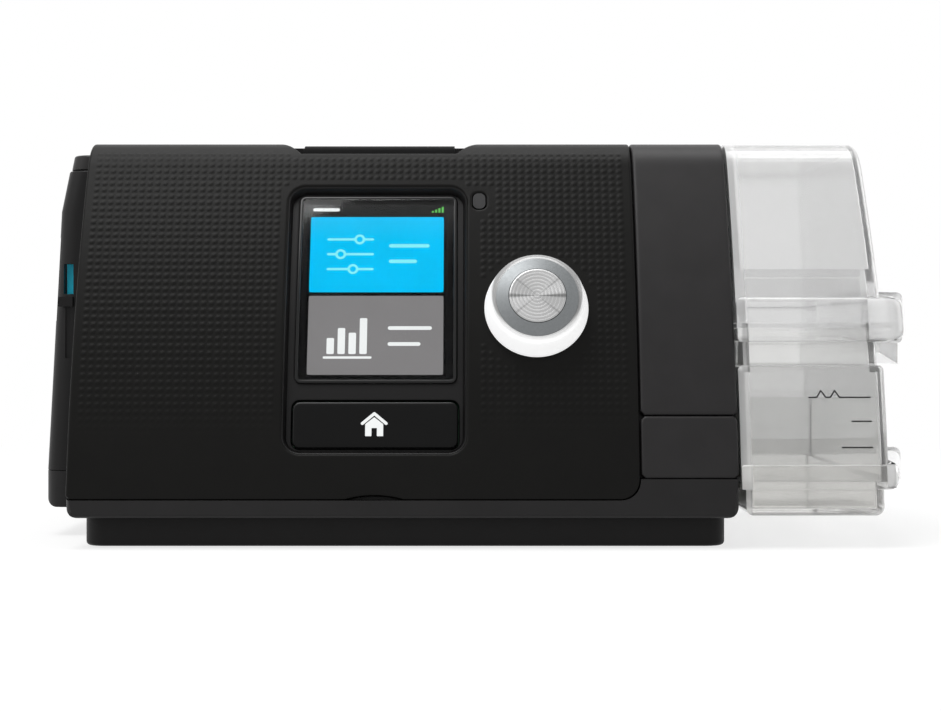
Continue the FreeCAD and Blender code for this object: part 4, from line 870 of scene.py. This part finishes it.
# ---- sunk field and its keys
BEZEL_DEPTH = 3.2
BEZEL_REACH = 2.5
LENS_CORNER = 1.8
KEY_DEPTH = 1.6
bezel_box = on_skin_box(grown(FIELD, BEZEL_REACH), BEZEL_DEPTH)
lens_hole = on_skin_box(grown(LENS, 0.1), BEZEL_DEPTH)
home_hole = on_skin_box(grown(HOME, 0.35), BEZEL_DEPTH)
bezel_shape = without(rounded(bezel_box, 6.5), rounded(lens_hole, 1.9), rounded(home_hole, 2.2))
bezel = plate("bezel_skin", bezel_shape, grid(bezel_box, 0.6), "housing", "case_black",
              depth=BEZEL_DEPTH, wall=2.0, edge=0.25)
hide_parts("control_bezel")


def box_ring(sides, corner):
    """Points round a rounded rectangle on the front."""
    left, right, low, high = sides
    places = []
    for cx, cu, start in ((right - corner, high - corner, 0), (left + corner, high - corner, 90),
                          (left + corner, low + corner, 180), (right - corner, low + corner, 270)):
        places += [on_circle(cx, cu, corner, start + 9 * i) for i in range(11)]
    ring = []
    for (x0, up0), (x1, up1) in zip(places, places[1:] + places[:1]):
        cuts = max(int(math.hypot(x1 - x0, up1 - up0) / 2), 1)
        ring += [(x0 + (x1 - x0) * i / cuts, up0 + (up1 - up0) * i / cuts) for i in range(cuts)]
    return np.array(ring)


SLOPE_PROFILE = [(SLOPE_OUT + 0.3, 0.6), (SLOPE_OUT, 0.3), (0.9, 0.42), (0.65, 0.9),
                 (0.3, 2.5), (0.05, 3.0), (0.05, 3.15), (SLOPE_OUT + 0.3, 3.15)]
slope_box = grown(field_box, 1.0)
slope_ring = box_ring(slope_box, FIELD_CORNER + 1.0)
slope_x, slope_up = slope(rounded(slope_box, FIELD_CORNER + 1.0), *slope_ring.T)
slope_points = [skin_point(slope_ring[:, 0] - (out - 1.0) * slope_x,
                           slope_ring[:, 1] - (out - 1.0) * slope_up, depth)
                for out, depth in SLOPE_PROFILE]
slope_rings = numbered(slope_points)
face_outward(add_piece("field_slope", np.concatenate(slope_points),
                       band_faces(slope_rings + slope_rings[:1]), "housing", "case_black"))
lens = front_plate("lens_skin", LENS, "housing", "lens_clear", radius=LENS_CORNER,
                   depth=2.4, wall=1.6, edge=0.5, step=0.7)
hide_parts("display_lens")
lens_box = on_skin_box(LENS, 2.35)
plate("glass_edge", frame_of(rounded(lens_box, LENS_CORNER), 0.9), grid(lens_box, 0.2), "housing",
      "glass_edge", depth=2.3, wall=0.6, edge=0.2)
home = front_plate("home_key", HOME, "home_button", "key_black", radius=1.9,
                   depth=KEY_DEPTH, wall=2.6, edge=0.6, step=0.7)
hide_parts("home_button")


# ---- flat signs
def sign(name, inside, sides, body, look, *, depth, rise, place=skin_point, step=0.15):
    """Thin raised print of a shape, a little proud of what carries it."""
    return plate(name, inside, grid(sides, step), body, look, depth=depth - rise,
                 wall=rise, edge=0.02, place=place)


house_x = (HOME[0] + HOME[1]) / 2 - 0.2
house_up = up_skin((HOME[2] + HOME[3]) / 2, KEY_DEPTH)
roof = strokes(*((house_x + side, house_up + 0.4, house_x, house_up + 3.2)
                 for side in (-3.3, 3.3)), half=0.42)
WALLS = ((-2.5, -3.2), (2.5, -3.2), (2.5, 0.2), (0, 2.2), (-2.5, 0.2))
DOOR = ((-0.75, -3.4), (0.75, -3.4), (0.75, -0.9), (-0.75, -0.9))
walls, door = (polygon([(house_x + x, house_up + up) for x, up in corners])
               for corners in (WALLS, DOOR))
sign("home_mark", union(roof, without(walls, door)),
     (house_x - 4, house_x + 4, house_up - 3.6, house_up + 4), "home_button", "glow_white",
     depth=KEY_DEPTH, rise=0.05)

# ---- display
SCREEN_DEPTH = 6.0
LAYER = 0.05
screen_foot = (skin_point(0.0, DIAL_UP, 0.0)
               + (SCREEN_Z - DIAL_Z) / math.cos(DIAL_TURN) * ABOVE)


def screen_point(x, up, depth):
    """Points on the flat display: up is measured along it from SCREEN_Z."""
    x, up, depth = np.broadcast_arrays(x, up, depth)
    return screen_foot + x[..., None] * RIGHT + up[..., None] * ABOVE - depth[..., None] * OUT


def on_screen(name, inside, sides, layer, look, step=0.2):
    """Sign on the display. Higher layers lie over lower ones."""
    return sign(name, inside, sides, "housing", look,
                depth=SCREEN_DEPTH - LAYER * layer, rise=LAYER, place=screen_point, step=step)


MASK_DEPTH = 4.2
WINDOW = (-48.4, -8.6, 47.6, 96.9)
mask_box = on_skin_box(grown(LENS, -0.1), MASK_DEPTH)
window_box = on_skin_box(WINDOW, MASK_DEPTH)
plate("screen_mask", without(rounded(mask_box, 1.7), rounded(window_box, 0.5)),
      grid(mask_box, 0.7), "housing", "screen_black", depth=MASK_DEPTH, wall=0.3,
      edge=0.05)

TILE_LEFT = -47.8
TILE_RIGHT = -9.4
UPPER_TILE = (TILE_LEFT, TILE_RIGHT, 6.3, 29.6)
LOWER_TILE = (TILE_LEFT, TILE_RIGHT, -18.6, 5.2)
STATUS_UP = 31.9
BACKING = (-49.4, -7.6, -21.5, 35.5)
on_screen("screen_back", rounded(BACKING, 0.3), BACKING, -2, "screen_black", 1.0)
on_screen("tile_upper", rounded(UPPER_TILE, 0.3), UPPER_TILE, 0, "tile_blue", 1.0)
on_screen("tile_lower", rounded(LOWER_TILE, 0.3), LOWER_TILE, 0, "tile_grey", 1.0)

# upper tile: three slider bars with knobs, and two short lines beside them
slider_x = (-42.6, -29.8)
slider_ups = (22.6, 18.0, 13.4)
knob_xs = (-33.6, -39.0, -35.4)
tracks = strokes(*((slider_x[0], up, slider_x[1], up) for up in slider_ups), half=0.36)
knobs, holes = ([disc(x, up, radius) for x, up in zip(knob_xs, slider_ups)]
                for radius in (1.55, 0.85))
on_screen("sliders_mark", without(union(tracks, *knobs), *holes),
          (slider_x[0] - 1, slider_x[1] + 1, 11.5, 24.5), 1, "glow_cyan")
on_screen("lines_upper", strokes((-24.6, 20.6, -14.0, 20.6), (-24.6, 15.8, -17.6, 15.8),
                                 half=0.55), (-26, -13, 14.5, 22), 1, "glow_cyan")

# lower tile: a small bar chart on a base line, and two short lines beside it
COLUMNS = ((-42.4, -7.6), (-39.3, -4.6), (-36.2, -6.0), (-33.1, -1.6))
chart = union(*(rounded((x, x + 2.1, -12.4, top), 0.3) for x, top in COLUMNS))
chart = union(chart, rounded((-43.4, -29.6, -13.8, -13.1), 0.3))
on_screen("chart_mark", chart, (-44, -29, -14.6, -0.8), 1, "glow_white")
on_screen("lines_lower", strokes((-24.6, -4.6, -13.2, -4.6), (-24.6, -9.4, -16.4, -9.4),
                                 half=0.55), (-26, -12, -11, -3), 1, "glow_white")

# status line: a short bar on the left, a stepped bar mark on the right
on_screen("status_bar", strokes((-46.8, STATUS_UP, -40.0, STATUS_UP), half=0.5),
          (-48, -39, STATUS_UP - 1, STATUS_UP + 1), 0, "glow_white")
steps = union(*(rounded((-12.9 + 0.95 * i, -12.3 + 0.95 * i, STATUS_UP - 0.9,
                         STATUS_UP - 0.35 + 0.42 * i), 0.1) for i in range(4)))
on_screen("signal_mark", steps, (-13.4, -9.0, STATUS_UP - 1.2, STATUS_UP + 1.4), 0, "glow_green",
          0.1)

# ---- dial
skirt_outline = [(12.5, 0.95), (14.1, 0.95), (14.5, 1.1), (14.6, 1.45), (14.45, 2.6),
                 (13.45, 7.4), (13.2, 8.5), (13.0, 8.8), (12.7, 8.95), (12.3, 9.35),
                 (12.1, 9.6), (11.75, 9.75), (0, 9.75), (0, 8.75), (12.1, 8.75), (12.5, 0.95)]
skirt = lathe("dial_skirt_skin", skirt_outline, "dial", "dial_white")
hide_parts("dial_skirt")
ring_outline = [(0, 9.8), (11.35, 9.8), (11.45, 9.88), (11.42, 10.1), (8.3, 11.05),
                (8.05, 11.1), (7.9, 10.95), (0, 10.95), (0, 9.8)]
ring = lathe("dial_ring_skin", ring_outline, "dial", "dial_grey")
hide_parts("dial_ring")
cap_outline = [(0, 10.97), (7.78, 10.97), (7.85, 11.02), (7.83, 11.18), (7.6, 11.3),
               (7.3, 11.3), (0, 11.12)]
cap = lathe("dial_cap_skin", cap_outline, "dial", "dial_spun")
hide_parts("dial_cap")

# ---- level marks on the tub
def tub_mark(name, inside, sides):
    """Black print on the outside of the tub's front."""
    return sign(name, inside, sides, "tub", "print_black", depth=TUB_INSET, rise=0.04)


MARK_RIGHT = 109.4
MARK_LIMIT = 109.8
MARK_HALF = 0.21
CREST = 1.95
level_up = up_skin(WATER_TOP, TUB_INSET)
waves = [(92.4, 0), (94.6, 0), (95.75, CREST), (97.1, 0), (98.4, 0), (99.6, CREST), (100.9, 0),
         (MARK_RIGHT, 0)]
top_mark = strokes(*((x0, level_up + rise0, x1, level_up + rise1)
                     for (x0, rise0), (x1, rise1) in zip(waves, waves[1:])), half=MARK_HALF)
tub_mark("mark_high", top_mark, (92.0, MARK_LIMIT, level_up - 0.5, level_up + CREST + 0.5))
for mark_name, mark_left, limit, mark_z in (("mark_middle", 104.1, 103.7, 35.1),
                                            ("mark_low", 101.1, 100.7, 27.9)):
    mark_up = up_skin(mark_z, TUB_INSET)
    tub_mark(mark_name, bar(mark_left, mark_up, MARK_RIGHT, mark_up, MARK_HALF),
             (limit, MARK_LIMIT, mark_up - 0.5, mark_up + 0.5))

# ---- steps low on the lid
LID_INSET = 1.4
BAND_RISE = 0.14
for band_name, (band_low, band_high), band_right in (("lid_band_high", (75.5, 77.8), 108.9),
                                                     ("lid_band_low", (69.9, 75.1), 108.6)):
    band = (73.6, band_right, up_skin(band_low, LID_INSET), up_skin(band_high, LID_INSET))
    band_lines = (even(band[0], band[1], 0.6), even(band[2], band[3], 0.3))
    plate(band_name, rounded(band, 1.0), band_lines, "lid", "band_plastic",
          depth=LID_INSET - BAND_RISE, wall=BAND_RISE, edge=0.1)

# ---- water in the tub
WATER_GAP = 0.12
WATER_BACK_CORNER = 5.0
WATER_INNER = ((18.15, -42.65), (77.5, -42.65), (77.5, 42.65), (18.15, 42.65))
WATER_INNER_FOOT = 14.55
TUB_WALL = 2.0
TUB_OUTER_X = 114.3
TUB_BACK_Y = 58.0
SHOULDER_X = 73.0


def water_ring(inset, z, front_inset, corner):
    """Plan outline at one height. The insets are from the skin of the case and of its front."""
    left = SHOULDER_X + inset - TUB_INSET
    right = TUB_OUTER_X - inset + TUB_INSET
    back = TUB_BACK_Y - inset + TUB_INSET
    front = float(skin_point(0.0, up_skin(max(z, LIP_HEIGHT), front_inset), front_inset)[1])
    far = WATER_BACK_CORNER
    return [(*on_circle(cx, cy, radius, start + 15 * step), z)
            for cx, cy, radius, start in ((right - corner, front + corner, corner, -90),
                                          (right - far, back - far, far, 0),
                                          (left + 1, back - 1, 1, 90),
                                          (left + 1, front + 1, 1, 180))
            for step in range(7)]


def loft(name, rings, body, look):
    """Closed solid through rings of equal length."""
    numbers = numbered(rings)
    faces = [numbers[0][::-1], numbers[-1]] + band_faces(numbers)
    return add_piece(name, np.concatenate(rings), faces, body, look)


low_inset = TUB_INSET + TUB_WALL + 1.4 + WATER_GAP
high_inset = TUB_INSET + TUB_WALL + WATER_GAP
rings = [water_ring(low_inset, 11.1, low_inset + 0.6, 1.0),
         water_ring(low_inset, 11.7, low_inset, 1.2), water_ring(low_inset, 18.4, low_inset, 1.2)]
rings += [water_ring(high_inset, z, high_inset, 1.6) for z in np.linspace(18.7, WATER_TOP, 12)]
water = loft("water", rings, "tub", "water_clear")
inner_rings = [[(x, y, z) for x, y in WATER_INNER] for z in (WATER_INNER_FOOT, WATER_TOP)]
water_inner = loft("water_inner", inner_rings, "tub", "water_clear")
join = water.modifiers.new("join", "BOOLEAN")
join.operation = "UNION"
join.solver = "EXACT"
join.object = water_inner
together = water.evaluated_get(bpy.context.evaluated_depsgraph_get())
joined = bpy.data.meshes.new_from_object(together)
water.modifiers.clear()
water.data = joined
bpy.data.objects.remove(water_inner)

# ---- front ends of the two grips
GRIP_FRONT_Y = -36.0
GRIP_CORNER = 4.5
GRIP_WIDTH = 5.0
GRIP_BACK = (-26.0, -27.5, -33.0)  # Y where it meets the grip, from the outside in
APRON_WALL = 1.3


def grip_end(name, body, side_x, corner_x, out_x, front, back, proud, edge, apron_x=None):
    """Front end of a grip: it comes round the corner of the tub and swells into the grip.

    Front and back give its lowest and highest points at both ends. Proud is how far its face
    stands out from the case's skin. Its outer edges are rounded by edge, and a thin apron may
    reach left in front of the rim.
    """
    tall = front[1] - front[0]
    turns = [math.radians(degrees) for degrees in range(0, 91, 15)]
    arc = [(edge * (1 - math.cos(turn)), edge * (1 - math.sin(turn))) for turn in turns[::2]]
    rings = []
    for rise, shrink in arc + [(tall - rise, shrink) for rise, shrink in reversed(arc)]:
        share = rise / tall
        up = up_skin(front[0] + rise)
        face = float(skin_point(0.0, up, 0.0)[1]) - proud
        plan = [(corner_x - GRIP_CORNER + (GRIP_CORNER - shrink) * math.sin(turn),
                 face + GRIP_CORNER - (GRIP_CORNER - 0.3 * shrink) * math.cos(turn))
                for turn in turns]
        plan += zip((out_x - shrink, out_x - GRIP_WIDTH, side_x), GRIP_BACK)
        if apron_x:
            plan += [(side_x, face + APRON_WALL), (apron_x, face + APRON_WALL)]
        plan.append((apron_x or side_x, face + 0.3 * shrink))
        ring = []
        for x, y in plan:
            part = min(max((y - face) / (GRIP_FRONT_Y - face), 0), 1)
            low = front[0] + part * (back[0] - front[0])
            high = front[1] + part * (back[1] - front[1])
            ring.append((x, y, low + share * (high - low)))
        rings.append(ring)
    round_edges(face_outward(loft(name, rings, body, "grip_plastic")), 0.3, 50)


grip_end("upper_grip_end", "lid", 117.5, 120.0, 127.42, (57.8, 69.3), (57.2, 71.95), 3.0, 2.6,
         109.6)
grip_end("lower_grip_end", "tub", 115.4, 117.4, 126.95, (17.0, 23.4), (14.6, 26.25), 0.3, 2.4)

# ---- floor, world, lamps, camera
# Lengths from here on are in metres.
FLOOR_HALF = 2.5
FLOOR_TONE = (*grey(0.5), 1)
SHADOW_TONE = (*grey(0.28), 1)
FLOOR_LIFT = 0.76
FLOOR_NEAR = 0.22
FLOOR_FAR = 0.60
WHITE = (1, 1, 1, 1)
AIM = (0, 0, 0.06)
LAMPS = (
    ("key", (-0.32, -0.42, 1.02), (0.6, 0.6), 6.0),
    ("fill", (-0.85, -0.45, 0.50), (0.6, 0.6), 1.3),
    ("side", (0.95, 0.10, 0.50), (0.6, 0.6), 2.4),
    ("top", (0.0, 0.15, 1.10), (0.9, 0.5), 4.0),
)
CAMERA_PLACE = (-0.0017, -0.608, 0.0532)
CAMERA_LENS = 74.41
CAMERA_FILM = 36.0


def light_path(tree):
    """1 for what is seen directly, in gloss or through glass, and 0 for other light."""
    path = add_node(tree, "LightPath")
    value = path.outputs["Is Camera Ray"]
    for key in ("Is Glossy Ray", "Is Transmission Ray"):
        value = compute(tree, "MAXIMUM", value, path.outputs[key])
    return value


def make_floor():
    """White floor that keeps the object's shadow and fades to plain white further out."""
    material = bpy.data.materials.new("floor_white")
    material.use_nodes = True
    tree = material.node_tree
    tree.nodes.remove(tree.nodes["Principled BSDF"])
    diffuse = add_node(tree, "BsdfDiffuse", {"Color": FLOOR_TONE})
    shaded = add_node(tree, "BsdfDiffuse", {"Color": SHADOW_TONE})
    lift = add_node(tree, "Emission", {"Color": WHITE, "Strength": FLOOR_LIFT})
    plain = add_node(tree, "Emission", {"Color": WHITE, "Strength": 1.0})
    near = add_node(tree, "AddShader", {0: shaded.outputs["BSDF"], 1: lift.outputs["Emission"]})
    place = add_node(tree, "TexCoord")
    distance = add_node(tree, "VectorMath", {0: place.outputs["Object"]}, "LENGTH")
    far = add_node(tree, "MapRange", {"Value": distance.outputs["Value"],
                                      "From Min": FLOOR_NEAR, "From Max": FLOOR_FAR})
    far.interpolation_type = "SMOOTHSTEP"
    seen = add_node(tree, "MixShader", {"Fac": far.outputs["Result"], 1: near.outputs["Shader"],
                                        2: plain.outputs["Emission"]})
    outcome = add_node(tree, "MixShader", {"Fac": light_path(tree), 1: diffuse.outputs["BSDF"],
                                           2: seen.outputs["Shader"]})
    feed(tree, tree.nodes["Material Output"], {"Surface": outcome.outputs["Shader"]})
    mesh = bpy.data.meshes.new("floor")
    corners = [(x * FLOOR_HALF, y * FLOOR_HALF, 0) for x, y in ((-1, -1), (1, -1), (1, 1), (-1, 1))]
    mesh.from_pydata(corners, [], [(0, 1, 2, 3)])
    mesh.materials.append(material)
    floor = new_object("floor", mesh)


def make_world():
    """White surroundings, dimmer for the light that they cast."""
    world = bpy.data.worlds.new("studio")
    world.use_nodes = True
    tree = world.node_tree
    mix = add_node(tree, "MapRange", {"Value": light_path(tree), "To Min": 0.35, "To Max": 1.0})
    feed(tree, tree.nodes["Background"], {"Strength": mix.outputs["Result"], "Color": WHITE})
    bpy.context.scene.world = world


def add_lamp(name, place, size, power):
    """Soft rectangular lamp that points at the object."""
    data = bpy.data.lights.new(name, "AREA")
    data.shape = "RECTANGLE"
    data.size, data.size_y = size
    data.energy = power
    lamp = new_object(name, data)
    lamp.location = place
    lamp.rotation_euler = (Vector(AIM) - Vector(place)).to_track_quat("-Z", "Y").to_euler()


make_floor()
make_world()
for lamp in LAMPS:
    add_lamp(*lamp)

camera_data = bpy.data.cameras.new("camera")
camera_data.lens = CAMERA_LENS
camera_data.sensor_width = CAMERA_FILM
camera_data.clip_start = 0.02
camera = new_object("camera", camera_data)
camera.location = CAMERA_PLACE
camera.rotation_euler = (math.pi / 2, 0, 0)
bpy.context.scene.camera = camera
bpy.context.scene.view_settings.view_transform = "Standard"
